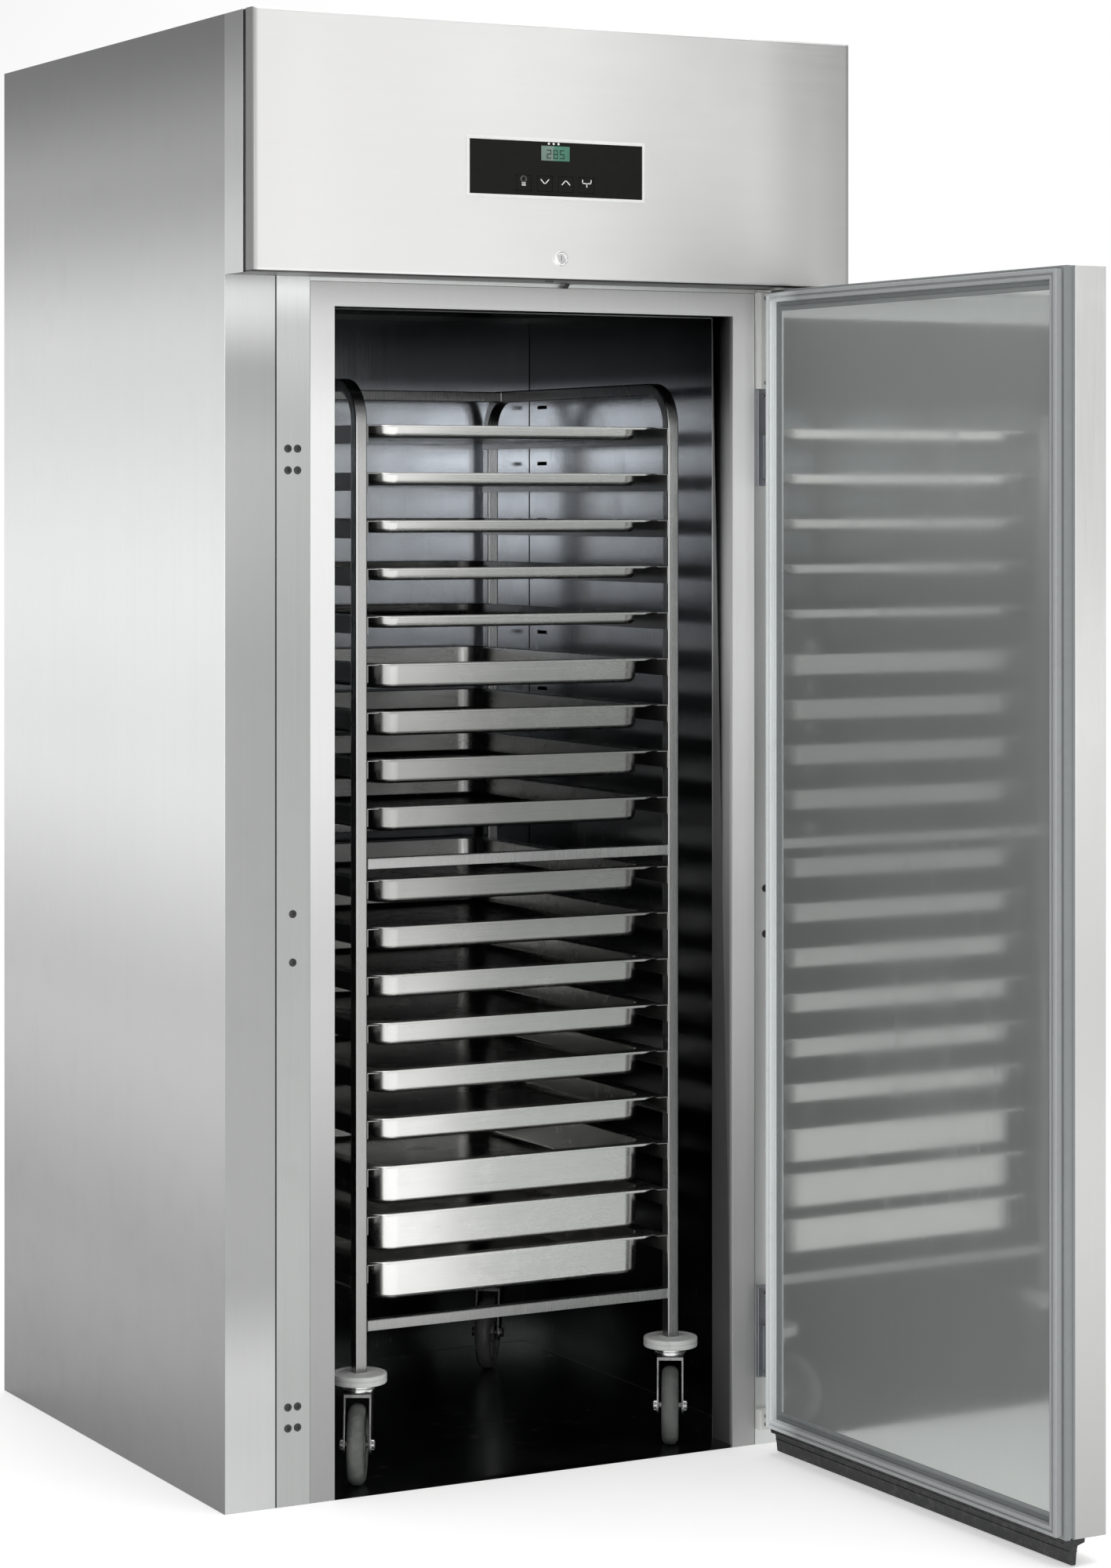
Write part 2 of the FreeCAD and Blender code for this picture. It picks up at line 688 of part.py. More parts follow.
def hinge_brackets():
    """Cabinet halves of the hinges, each a foot on the door surround, an arm, a knuckle and the pin."""
    brackets = []
    for bottom, split, top in hinge_levels:
        foot = box(frame_right + 2, frame_right + 32, front - 8, front, bottom, top)
        arm = box(hinge_x - 8, hinge_x + knuckle_radius, hinge_y, front - 8, bottom, split)
        knuckle = rod(knuckle_radius, (hinge_x, hinge_y, bottom), (hinge_x, hinge_y, split))
        pin = rod(pin_radius, (hinge_x, hinge_y, split), (hinge_x, hinge_y, top - 8))
        brackets.append(fuse([foot, arm, knuckle, pin]))
    return group(brackets)


def hinge_covers():
    """Cover strip above the upper hinge and cover block below the lower one."""
    covers = []
    for z0, z1 in ((hinge_levels[0][2] + 1, door_top), (25.0, 58.0)):
        cover = box(frame_right + 2, frame_right + 32, front - 14, front, z0, z1)
        edges = [e for e in cover.Edges
                 if e.BoundBox.ZLength > 20 and abs(e.BoundBox.YMax - (front - 14)) < 0.01]
        covers.append(cover.makeFillet(4, edges))
    return group(covers)


# ---------------------------------------------------------------- trolley

def trolley_side(side):
    """One side frame: a square tube bent into an upside-down U."""
    x0 = trolley_x + side * (trolley_width / 2) - (tube if side > 0 else 0)

    def outline(inset):
        y0, y1, top = trolley_front + inset, trolley_back - inset, rail_top - inset
        radius = bend + tube / 2 - inset
        k = radius * (1 - cos(pi / 4))
        p = [Vector(x0, y0, post_bottom), Vector(x0, y0, top - radius), Vector(x0, y0 + k, top - k),
             Vector(x0, y0 + radius, top), Vector(x0, y1 - radius, top), Vector(x0, y1 - k, top - k),
             Vector(x0, y1, top - radius), Vector(x0, y1, post_bottom)]
        edges = [
            Part.makeLine(p[0], p[1]), Part.Arc(p[1], p[2], p[3]).toShape(), Part.makeLine(p[3], p[4]),
            Part.Arc(p[4], p[5], p[6]).toShape(), Part.makeLine(p[6], p[7]), Part.makeLine(p[7], p[0]),
        ]
        return Part.Face(Part.Wire(edges)).extrude(X * tube)

    return outline(0).cut(outline(tube))


def inner_face(side):
    return trolley_x + side * (trolley_width / 2 - tube)


def cross_bars():
    """Bars that join the two side frames: low and middle ones front and back, and a top one at the back."""
    x0, x1 = inner_face(-1), inner_face(1)
    bars = []
    for z in bar_levels:
        for y in (trolley_front + 1, trolley_back - tube + 1):
            bars.append(box(x0, x1, y, y + tube - 2, z, z + bar_height))
    y = trolley_back - bend - tube / 2
    bars.append(box(x0, x1, y, y + tube, rail_top - tube + 1, rail_top - 1))
    return group(bars)


def pan_levels():
    """Rim heights of all pans, from the bottom up."""
    return [first + level_pitch * i for first in (lower_first, upper_first) for i in range(levels_each)]


def runners():
    """Angle runners that carry the pans' rims, a pair at each level."""
    rails = []
    for level in pan_levels():
        top = level - pan_sheet
        for side in (-1, 1):
            x = inner_face(side)
            web = x - side * runner_sheet
            lip = x - side * runner_lip
            rails.append(fuse([
                box(min(x, web), max(x, web), trolley_front, trolley_back, top - runner_web, top),
                box(min(web, lip), max(web, lip), trolley_front, trolley_back, top - runner_sheet, top),
            ]))
    return group(rails)


def post_places():
    """Post centres (x, y) of the four corners."""
    x = trolley_width / 2 - tube / 2
    ys = {"front": trolley_front + tube / 2, "rear": trolley_back - tube / 2}
    return {
        f"{end}_{hand}": (trolley_x + side * x, y)
        for end, y in ys.items()
        for hand, side in (("left", -1), ("right", 1))
    }


def bumpers():
    """Round plastic bumper discs between the posts and the castors."""
    discs = []
    for x, y in post_places().values():
        disc = Part.makeCylinder(bumper_radius, bumper_height, Vector(x, y, post_bottom - bumper_height))
        discs.append(disc.makeFillet(3, [e for e in disc.Edges if abs(e.BoundBox.ZLength) < 0.01]))
    return group(discs)


fork_top = post_bottom - bumper_height
crown_height, head_height, head_radius = 5.0, 13.0, 24.0
axle_z = floor_sheet + wheel_radius


def place_castor(shape, corner):
    """Turn a castor piece, drawn with its trail along -Y, to its yaw and move it under its post."""
    x, y = post_places()[corner]
    shape.rotate(Vector(0, 0, 0), Z, castor_yaws[corner])
    shape.translate(Vector(x, y, 0))
    return shape


def castor_fork(corner):
    """Swivel head, crown, two legs and the axle bolt."""
    crown_top = fork_top - head_height
    leg_top = crown_top - crown_height
    outer = fork_gap / 2 + fork_sheet
    head = Part.makeCylinder(head_radius, head_height, Vector(0, 0, crown_top))
    crown = box(-outer, outer, -fork_trail, 26, leg_top, crown_top)
    legs = []
    for x0 in (-outer, fork_gap / 2):
        plate = extrude(
            [(x0, 26, leg_top), (x0, -fork_trail, leg_top), (x0, -fork_trail - 14, axle_z),
             (x0, -fork_trail + 14, axle_z)], X * fork_sheet)
        eye = rod(14, (x0, -fork_trail, axle_z), (x0 + fork_sheet, -fork_trail, axle_z))
        legs.append(plate.fuse(eye))
    axle = rod(axle_radius, (-outer, -fork_trail, axle_z), (outer, -fork_trail, axle_z))
    heads = [rod(8, (x, -fork_trail, axle_z), (x + 6, -fork_trail, axle_z)) for x in (-outer - 6, outer)]
    return place_castor(fuse([head, crown] + legs + [axle] + heads), corner)


def castor_wheel(corner):
    """Tyre, web and hub in one turned piece."""
    half, hub, bore = wheel_width / 2, 16.0, axle_radius + axle_clearance
    rim, web, crown = 46.0, 6.0, 9.0
    tread = half - crown
    points = [
        Vector(-half, bore, 0), Vector(-half, hub, 0), Vector(-web, hub + 4, 0), Vector(-web, rim, 0),
        Vector(-half, rim + 3, 0), Vector(-half, wheel_radius - crown, 0),
    ]
    edges = [Part.makeLine(a, b) for a, b in zip(points, points[1:])]
    k = crown * (1 - cos(pi / 4))
    edges.append(Part.Arc(points[-1], Vector(-half + k, wheel_radius - k, 0),
                          Vector(-tread, wheel_radius, 0)).toShape())
    edges.append(Part.makeLine(Vector(-tread, wheel_radius, 0), Vector(tread, wheel_radius, 0)))
    edges.append(Part.Arc(Vector(tread, wheel_radius, 0), Vector(half - k, wheel_radius - k, 0),
                          Vector(half, wheel_radius - crown, 0)).toShape())
    mirrored = [Vector(-p.x, p.y, 0) for p in reversed(points)]
    edges += [Part.makeLine(a, b) for a, b in zip(mirrored, mirrored[1:])]
    edges.append(Part.makeLine(mirrored[-1], points[0]))
    wheel = Part.Face(Part.Wire(edges)).revolve(Vector(0, 0, 0), X, 360)
    wheel.translate(Vector(0, -fork_trail, axle_z))
    return place_castor(wheel, corner)


def pan(depth_):
    """Pressed pan with a flat rim turned down at its front and back; z = 0 is the rim's top."""
    top_x, top_y = pan_width - 2 * pan_inset, pan_length - 2 * pan_inset

    def tub(thickness, below, above):
        upper = rounded_wire(top_x - 2 * thickness, top_y - 2 * thickness, pan_corner - thickness, above)
        lower = rounded_wire(top_x - 2 * pan_draft - 2 * thickness, top_y - 2 * pan_draft - 2 * thickness,
                             pan_corner - pan_draft - thickness, below)
        solid = Part.makeLoft([upper, lower], True)
        floor_edges = [e for e in solid.Edges if abs(e.BoundBox.ZMax - below) < 0.01]
        return solid.makeFillet(9 - thickness, floor_edges)

    rim_face = Part.Face(rounded_wire(pan_width, pan_length, pan_corner, -pan_sheet))
    rim = rim_face.extrude(Z * pan_sheet)
    half = pan_width / 2 - pan_inset - 1
    ends = [
        box(-half, half, y, y + pan_sheet, -pan_edge_drop, -pan_sheet / 2)
        for y in (-pan_length / 2, pan_length / 2 - pan_sheet)
    ]
    body = fuse([rim, tub(0, -depth_, 0)] + ends)
    return body.cut(tub(pan_sheet, -depth_ + pan_sheet, 0.01))


def pans(name):
    """All pans of one depth: deep ones at the bottom, shallow ones at the top."""
    levels = pan_levels()
    ranges = {"pans_deep": levels[:3], "pans_medium": levels[3:13], "pans_shallow": levels[13:]}
    pattern = pan(pan_depths[name])
    y = (trolley_front + trolley_back) / 2
    copies = []
    for level in ranges[name]:
        copy = pattern.copy()
        copy.translate(Vector(trolley_x, y, level))
        copies.append(copy)
    return group(copies)


# ---------------------------------------------------------------- all nodes

def all_nodes():
    nodes = {
        "side_skin_left": side_skin(-1),
        "side_skin_right": side_skin(1),
        "rear_skin": rear_skin(),
        "insulation": insulation(),
        "inner_liner": inner_liner(),
        "floor_plate": floor_plate(),
        "side_duct_panels": side_duct_panels(),
        "duct_panel_rear": duct_panel_rear(),
        "jamb_covers": jamb_covers(),
        "hole_plugs": hole_plugs(),
        "door_frame": door_frame(),
        "header_cheeks": header_cheeks(),
        "header_panel": header_panel(),
        "top_cover": top_cover(),
        "display_bezel": display_bezel(),
        "display_window": display_window(),
        "lcd_screen": lcd_screen(),
        "control_box": control_box(),
        "lock_body": lock_body(),
        "lock_plug": lock_plug(),
        "lock_bolt": lock_bolt(),
        "door_switch": door_switch(),
        "switch_lever": switch_lever(),
        "compressor": compressor(),
        "condenser": condenser(),
        "condenser_fan": fan(condenser_x, condenser_y - 2, condenser_z, condenser_fan_radius, 30),
        "evaporator": evaporator(),
        "circulation_fan": fan(doorway_x, circulation_y, circulation_z, circulation_radius, 34),
        "heater": heater(),
        "humidifier": humidifier(),
        "hinge_brackets": hinge_brackets(),
        "hinge_covers": hinge_covers(),
        "door_skin": door_skin(),
        "door_core": door_core(),
        "door_liner": door_liner(),
        "door_profile": door_profile(),
        "door_gasket": door_gasket(),
        "door_sweep": door_sweep(),
        "handle_cup": handle_cup(),
        "hinge_leaves": hinge_leaves(),
        "trolley_side_left": trolley_side(-1),
        "trolley_side_right": trolley_side(1),
        "cross_bars": cross_bars(),
        "runners": runners(),
        "bumpers": bumpers(),
    }
    for index, name in enumerate(key_names):
        nodes[name] = key(index)
    for name in pan_depths:
        nodes[name] = pans(name)
    for corner in castor_yaws:
        nodes[f"castor_fork_{corner}"] = castor_fork(corner)
        nodes[f"castor_wheel_{corner}"] = castor_wheel(corner)
    return nodes


os.makedirs("parts", exist_ok=True)
for node_name, node_shape in all_nodes().items():
    node_shape.exportStep(f"parts/{node_name}.step")
    bounds = node_shape.BoundBox
    print(
        f"{node_name:28s} solids {len(node_shape.Solids):3d} valid {node_shape.isValid()} "
        f"x {bounds.XMin:8.1f} {bounds.XMax:8.1f} y {bounds.YMin:8.1f} {bounds.YMax:8.1f} "
        f"z {bounds.ZMin:8.1f} {bounds.ZMax:8.1f}"
    )
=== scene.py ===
"""Looks of the roll-in proofing cabinet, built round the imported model.

Lengths are in metres, in the model's own frame: +X to the hinge side, +Y to the back, +Z up.
"""

import json
import math

import bmesh
import bpy
from mathutils import Matrix, Vector

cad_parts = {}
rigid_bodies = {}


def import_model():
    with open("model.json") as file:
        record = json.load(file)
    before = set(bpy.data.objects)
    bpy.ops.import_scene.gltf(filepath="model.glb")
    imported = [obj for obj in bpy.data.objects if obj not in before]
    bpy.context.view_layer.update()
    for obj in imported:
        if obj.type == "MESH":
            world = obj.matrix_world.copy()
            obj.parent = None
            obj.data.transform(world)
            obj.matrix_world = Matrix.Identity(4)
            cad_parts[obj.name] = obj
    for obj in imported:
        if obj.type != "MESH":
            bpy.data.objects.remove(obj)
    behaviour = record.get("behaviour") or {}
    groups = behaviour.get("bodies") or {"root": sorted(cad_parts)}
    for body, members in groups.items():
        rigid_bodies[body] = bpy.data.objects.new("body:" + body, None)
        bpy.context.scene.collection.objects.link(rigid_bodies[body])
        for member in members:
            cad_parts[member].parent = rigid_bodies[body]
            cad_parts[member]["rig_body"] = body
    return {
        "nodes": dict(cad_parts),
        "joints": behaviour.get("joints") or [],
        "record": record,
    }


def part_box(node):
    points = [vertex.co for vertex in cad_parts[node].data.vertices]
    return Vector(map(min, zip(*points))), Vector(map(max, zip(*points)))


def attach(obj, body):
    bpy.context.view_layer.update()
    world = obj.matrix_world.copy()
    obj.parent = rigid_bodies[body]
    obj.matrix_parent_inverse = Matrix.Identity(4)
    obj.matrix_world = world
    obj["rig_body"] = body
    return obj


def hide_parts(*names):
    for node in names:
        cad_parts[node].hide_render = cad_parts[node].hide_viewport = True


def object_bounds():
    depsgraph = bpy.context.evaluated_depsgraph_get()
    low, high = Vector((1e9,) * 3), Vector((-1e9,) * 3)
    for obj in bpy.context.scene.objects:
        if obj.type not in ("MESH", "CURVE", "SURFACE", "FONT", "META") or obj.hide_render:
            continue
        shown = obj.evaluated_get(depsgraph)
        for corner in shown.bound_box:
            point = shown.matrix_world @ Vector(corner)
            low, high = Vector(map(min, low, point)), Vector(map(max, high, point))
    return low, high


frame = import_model()
cad_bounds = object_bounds()
scene = bpy.context.scene
nodes = frame["nodes"]
slot_of = {part["node"]: part["material_slot"] for part in frame["record"]["subparts"]}
body_of = {name: node["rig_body"] for name, node in nodes.items()}
joints = {joint["name"]: joint for joint in frame["joints"]}
mm = 0.001

# ---------------------------------------------------------------- places read from the frame

hinge = Vector(joints["door_hinge"]["pos_m"])
door_open = math.radians(-joints["door_hinge"]["range_deg"][0])
door_turn = (
    Matrix.Translation(hinge) @ Matrix.Rotation(door_open, 4, "Z") @ Matrix.Translation(-hinge)
)


def turned_box(names, back):
    """Box of some CAD nodes after the move back, as (lowest, highest)."""
    points = [back @ vertex.co for name in names for vertex in nodes[name].data.vertices]
    low = Vector([min(p[i] for p in points) for i in range(3)])
    high = Vector([max(p[i] for p in points) for i in range(3)])
    return low, high


door_low, door_high = turned_box(["door_profile", "door_skin"], door_turn.inverted())
profile_low, profile_high = turned_box(["door_profile"], door_turn.inverted())
liner_high = turned_box(["door_liner"], door_turn.inverted())[1]
gasket_low = turned_box(["door_gasket"], door_turn.inverted())[0]
sweep_low, sweep_high = turned_box(["door_sweep"], door_turn.inverted())
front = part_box("jamb_covers")[0].y
window_low, window_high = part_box("display_window")
lcd_low, lcd_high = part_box("lcd_screen")

# ---------------------------------------------------------------- mesh helpers


def loft(rings, loop=False):
    """Skin over rings that have the same number of points; its ends are closed unless the rings loop."""
    count = len(rings[0])
    verts = [Vector(point) for ring in rings for point in ring]
    spans = len(rings) if loop else len(rings) - 1
    faces = []
    for r in range(spans):
        s = (r + 1) % len(rings)
        for i in range(count):
            j = (i + 1) % count
            faces.append((r * count + i, r * count + j, s * count + j, s * count + i))
    if not loop:
        faces.append(tuple(range(count)))
        faces.append(tuple((len(rings) - 1) * count + i for i in range(count)))
    return verts, faces


def joined(parts):
    verts, faces = [], []
    for part_verts, part_faces in parts:
        start = len(verts)
        verts += part_verts
        faces += [tuple(start + i for i in face) for face in part_faces]
    return verts, faces


def moved(part, matrix):
    return [matrix @ Vector(v) for v in part[0]], part[1]


def rounded(corners, radius, steps=3):
    """Closed outline in two coordinates, with its corners eased."""
    points = []
    count = len(corners)
    for i in range(count):
        corner = Vector(corners[i])
        before = Vector(corners[i - 1]) - corner
        after = Vector(corners[(i + 1) % count]) - corner
        reach = min(radius, 0.45 * before.length, 0.45 * after.length)
        a = corner + before.normalized() * reach
        b = corner + after.normalized() * reach
        for k in range(steps + 1):
            t = k / steps
            points.append((1 - t) ** 2 * a + 2 * t * (1 - t) * corner + t**2 * b)
    return points


def block(low, high, radius, steps=2):
    """Box with eased edges all round."""
    low, high = Vector(low), Vector(high)
    radius = min([radius] + [0.45 * (high[i] - low[i]) for i in range(3)])
    rings = []
    layers = [(radius, low.z)]
    layers += [(radius * (1 - math.sin(a)), low.z + radius * (1 - math.cos(a)))
               for a in (math.pi / 2 * k / steps for k in range(1, steps + 1))]
    layers += [(inset, high.z - (z - low.z)) for inset, z in reversed(layers)]
    for inset, z in layers:
        outline = rounded(
            [(low.x + inset, low.y + inset), (high.x - inset, low.y + inset),
             (high.x - inset, high.y - inset), (low.x + inset, high.y - inset)],
            max(radius - inset, radius * 0.05) + radius * 0.3, steps)
        rings.append([(p.x, p.y, z) for p in outline])
    return loft(rings)


def lathe(profile, segments):
    """Turned solid about +Z from (radius, height) points that start and end on the axis or near it."""
    rings = [
        [(r * math.cos(math.tau * i / segments), r * math.sin(math.tau * i / segments), h)
         for i in range(segments)]
        for r, h in profile
    ]
    return loft(rings)


def ring_lathe(profile, segments):
    """Turned ring about +Z from a closed outline of (radius, height) points."""
    rings = [
        [(r * math.cos(math.tau * i / segments), r * math.sin(math.tau * i / segments), h)
         for r, h in profile]
        for i in range(segments)
    ]
    return loft(rings, loop=True)


def in_metres(profile):
    """Profile given in millimetres."""
    return [(r * mm, h * mm) for r, h in profile]


def facing(axis, place):
    """Matrix that turns +Z to an axis and moves the origin to a place."""
    return Matrix.Translation(Vector(place)) @ Vector(axis).to_track_quat("Z", "Y").to_matrix().to_4x4()


def picture_frame(low, high, section):
    """Closed frame in the XZ plane with mitred corners; section holds (inset from the edge, y)."""
    rings = []
    for sx, sz in ((1, 1), (-1, 1), (-1, -1), (1, -1)):
        x = high.x if sx > 0 else low.x
        z = high.z if sz > 0 else low.z
        rings.append([(x - sx * inset, y, z - sz * inset) for inset, y in section])
    return loft(rings, loop=True)


def settled(made, crisp):
    """Apply an object's modifiers, and shade it smooth between its sharp edges."""
    mesh = made.data
    mesh.shade_smooth()
    mesh.set_sharp_from_angle(angle=math.radians(crisp))
    weigh = made.modifiers.new("normals", "WEIGHTED_NORMAL")
    weigh.weight = 100
    weigh.keep_sharp = True
    bpy.context.view_layer.update()
    graph = bpy.context.evaluated_depsgraph_get()
    result = bpy.data.meshes.new_from_object(made.evaluated_get(graph))
    made.modifiers.clear()
    made.data = result


def piece(name, body, slot, part, stands_for=(), crisp=40, finish=None):
    """Object from a mesh part, riding on a body and finished from its slot, or with a finish of its own."""
    mesh = bpy.data.meshes.new(name)
    mesh.from_pydata([tuple(v) for v in part[0]], [], part[1])
    work = bmesh.new()
    work.from_mesh(mesh)
    bmesh.ops.recalc_face_normals(work, faces=work.faces)
    work.to_mesh(mesh)
    work.free()
    made = bpy.data.objects.new(name, mesh)
    scene.collection.objects.link(made)
    mesh.materials.append(materials[finish or slot])
    settled(made, crisp)
    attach(made, body)
    if stands_for:
        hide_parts(*stands_for)
    return made


def eased(node, width, slot=None, bend=0.0):
    """Copy of a CAD node with its sharp edges eased, which stands for the node.

    A bend rounds the upright edges at its front left and front right.
    """
    mesh = nodes[node].data.copy()
    work = bmesh.new()
    work.from_mesh(mesh)
    bmesh.ops.remove_doubles(work, verts=work.verts, dist=2e-6)
    bmesh.ops.dissolve_limit(work, angle_limit=math.radians(1), verts=work.verts, edges=work.edges)
    if bend:
        work.edges.ensure_lookup_table()
        low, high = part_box(node)
        bent = [edge for edge in work.edges if edge.calc_length() > 0.1
                and all(v.co.y < low.y + 0.01 * mm and min(v.co.x - low.x, high.x - v.co.x) < 0.01 * mm
                        for v in edge.verts)]
        bmesh.ops.bevel(work, geom=bent, offset=bend, segments=5, profile=0.5, affect="EDGES",
                        clamp_overlap=False)
    work.to_mesh(mesh)
    work.free()
    mesh.materials.clear()
    mesh.materials.append(materials[slot or slot_of[node]])
    made = bpy.data.objects.new(node + "_eased", mesh)
    scene.collection.objects.link(made)
    bevel = made.modifiers.new("edges", "BEVEL")
    bevel.width = width
    bevel.segments = 2
    bevel.limit_method = "ANGLE"
    bevel.angle_limit = math.radians(38)
    settled(made, 180)
    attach(made, body_of[node])
    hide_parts(node)
    return made


# ---------------------------------------------------------------- materials


class Graph:
    """Short calls that build one material's node tree."""

    def __init__(self, name):
        self.material = bpy.data.materials.new(name)
        self.material.use_nodes = True
        self.tree = self.material.node_tree
        self.shader = self.tree.nodes["Principled BSDF"]
        self.place = self.add("ShaderNodeTexCoord").outputs["Object"]

    def add(self, kind, **settings):
        node = self.tree.nodes.new(kind)
        for key, value in settings.items():
            setattr(node, key, value)
        return node

    def feed(self, socket, value):
        if isinstance(value, bpy.types.NodeSocket):
            self.tree.links.new(value, socket)
        else:
            socket.default_value = value

    def set(self, **values):
        for key, value in values.items():
            self.feed(self.shader.inputs[key.replace("_", " ")], value)

    def noise(self, cells, detail=3.0, rough=0.5):
        """Noise from 0 to 1; cells is how many a metre holds, one number or one for each axis."""
        mapping = self.add("ShaderNodeMapping")
        self.feed(mapping.inputs["Vector"], self.place)
        mapping.inputs["Scale"].default_value = cells if isinstance(cells, tuple) else (cells,) * 3
        texture = self.add("ShaderNodeTexNoise")
        self.feed(texture.inputs["Vector"], mapping.outputs["Vector"])
        texture.inputs["Scale"].default_value = 1.0
        texture.inputs["Detail"].default_value = detail
        texture.inputs["Roughness"].default_value = rough
        return texture.outputs["Fac"]

    def math(self, kind, a, b=0.0):
        node = self.add("ShaderNodeMath", operation=kind)
        self.feed(node.inputs[0], a)
        self.feed(node.inputs[1], b)
        return node.outputs[0]

    def spread(self, value, low, high, start=0.3, stop=0.7):
        """Value from start to stop, spread over low to high."""
        node = self.add("ShaderNodeMapRange")
        self.feed(node.inputs["Value"], value)
        for key, number in (("From Min", start), ("From Max", stop), ("To Min", low), ("To Max", high)):
            node.inputs[key].default_value = number
        return node.outputs["Result"]

    def axis(self, name):
        split = self.add("ShaderNodeSeparateXYZ")
        self.feed(split.inputs[0], self.place)
        return split.outputs[name.upper()]

    def steps(self, value, stops):
        """Smooth grey ramp through (position, level) stops."""
        ramp = self.add("ShaderNodeValToRGB")
        self.feed(ramp.inputs["Fac"], value)
        ramp.color_ramp.interpolation = "EASE"
        points = ramp.color_ramp.elements
        while len(points) < len(stops):
            points.new(0.5)
        for point, (position, level) in zip(points, stops):
            point.position = position
            point.color = (level, level, level, 1)
        return ramp.outputs["Color"]

    def colour(self, tint, level):
        """Tint made lighter or darker by a level."""
        node = self.add("ShaderNodeVectorMath", operation="SCALE")
        self.feed(node.inputs[0], tint)
        self.feed(node.inputs["Scale"], level)
        return node.outputs[0]

    def between(self, factor, a, b):
        node = self.add("ShaderNodeMix", data_type="RGBA")
        self.feed(node.inputs["Factor"], factor)
        for socket, value in zip((node.inputs[6], node.inputs[7]), (a, b)):
            self.feed(socket, value if isinstance(value, bpy.types.NodeSocket) else (*value, 1))
        return node.outputs[2]

    def bump(self, height, distance):
        node = self.add("ShaderNodeBump")
        self.feed(node.inputs["Height"], height)
        node.inputs["Distance"].default_value = distance
        node.inputs["Strength"].default_value = 1.0
        self.feed(self.shader.inputs["Normal"], node.outputs["Normal"])


grain_axes = {"x": (1, 0, 0), "y": (0, 1, 0), "z": (0, 0, 1)}
height_top = cad_bounds[1][2]
half_width = (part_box("side_skin_right")[1].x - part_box("side_skin_left")[0].x) / 2


def along(grain, fine, coarse):
    """Cells per metre that are long in the grain's direction."""
    return tuple(coarse if axis == grain else fine for axis in "xyz")


def painted_light_over_height(g, levels):
    """Painted light and shade over the height of the cabinet, from (share of the height, level) stops."""
    return g.steps(g.math("DIVIDE", g.axis("z"), height_top), levels)


def painted_light_over_width(g, levels):
    """Painted light and shade over the width of the cabinet, from (share of the width, level) stops."""
    return g.steps(g.math("DIVIDE", g.math("ADD", g.axis("x"), half_width), 2 * half_width), levels)


def fold_level(g, level, tones):
    """Painted light and shade of its own for the front fold of a side sheet, darker at the seam in front;
    the side itself keeps the given level.
    """
    off_side = g.spread(g.math("ABSOLUTE", g.axis("x")), 1, 0, half_width - 1.5 * mm, half_width - 0.2 * mm)
    at_front = g.spread(g.axis("y"), 1, 0, front + 3 * mm, front + 6 * mm)
    in_seam = g.spread(g.axis("y"), 1, 0.10, front + 0.8 * mm, front + 1.15 * mm)
    folded = g.math("MULTIPLY", painted_light_over_height(g, tones), in_seam)
    return g.between(g.math("MULTIPLY", off_side, at_front), level, folded)


def steel(name, tint, rough, grain="z", streaks=0.05, clouds=0.05, turn=0.45, levels=None, marks=0.04,
          wave=0.5, metallic=1.0, across=None, fold=None, inward=None, under=None, relief=0.000012):
    """Brushed sheet or tube: fine lines along the grain, broad unevenness and faint finger marks.

    Its tone may carry painted light and shade over the height (levels), the width (across), the front fold
    of a side sheet (fold) and the faces behind the door frame's front (inward), and a painted shadow on the
    lowest edge of the header (under).
    """
    g = Graph(name)
    fine = g.noise(along(grain, 1300.0, 7.0), detail=2.0)
    broad = g.noise(along(grain, 90.0, 1.1), detail=2.0)
    cloud = g.noise(2.6, detail=2.0)
    mark = g.noise(17.0, detail=6.0, rough=0.62)
    level = g.math("ADD", g.spread(fine, 1 - streaks, 1 + streaks * 0.6),
                   g.spread(broad, -streaks * 0.3, streaks * 0.3))
    level = g.math("ADD", level, g.spread(cloud, -clouds, clouds))
    # painted light and shade over the height, with the side sheet's front fold on tones of its own
    if levels:
        tall = painted_light_over_height(g, levels)
        level = g.math("MULTIPLY", level, fold_level(g, tall, fold) if fold else tall)
    # painted light and shade over the width
    if across:
        level = g.math("MULTIPLY", level, painted_light_over_width(g, across))
    # painted shade on the faces deeper into the doorway
    if inward:
        depth = g.spread(g.axis("y"), 0, 1, front + 2 * mm, front + 12 * mm)
        level = g.math("MULTIPLY", level, g.between(depth, (1, 1, 1), painted_light_over_height(g, inward)))
    # painted shadow on the header's lowest edge, where it overhangs the door frame
    if under:
        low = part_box("header_panel")[0].z
        level = g.math("MULTIPLY", level, g.spread(g.axis("z"), under, 1, low + 1.4 * mm, low + 2.4 * mm))
    g.set(
        Base_Color=g.colour(tint, level),
        Metallic=metallic,
        Roughness=g.math("ADD", g.spread(fine, rough - 0.03, rough + 0.05),
                         g.math("ADD", g.spread(cloud, -0.03, 0.03), g.spread(mark, 0, marks, 0.52, 0.7))),
        Anisotropic=turn,
    )
    if turn:
        across_grain = g.add("ShaderNodeVectorMath", operation="CROSS_PRODUCT")
        g.feed(across_grain.inputs[0], g.add("ShaderNodeNewGeometry").outputs["Normal"])
        g.feed(across_grain.inputs[1], grain_axes[grain])
        g.set(Tangent=across_grain.outputs[0])
    if relief:
        g.bump(g.math("ADD", fine, g.math("MULTIPLY", broad, wave)), relief)
    return g.material


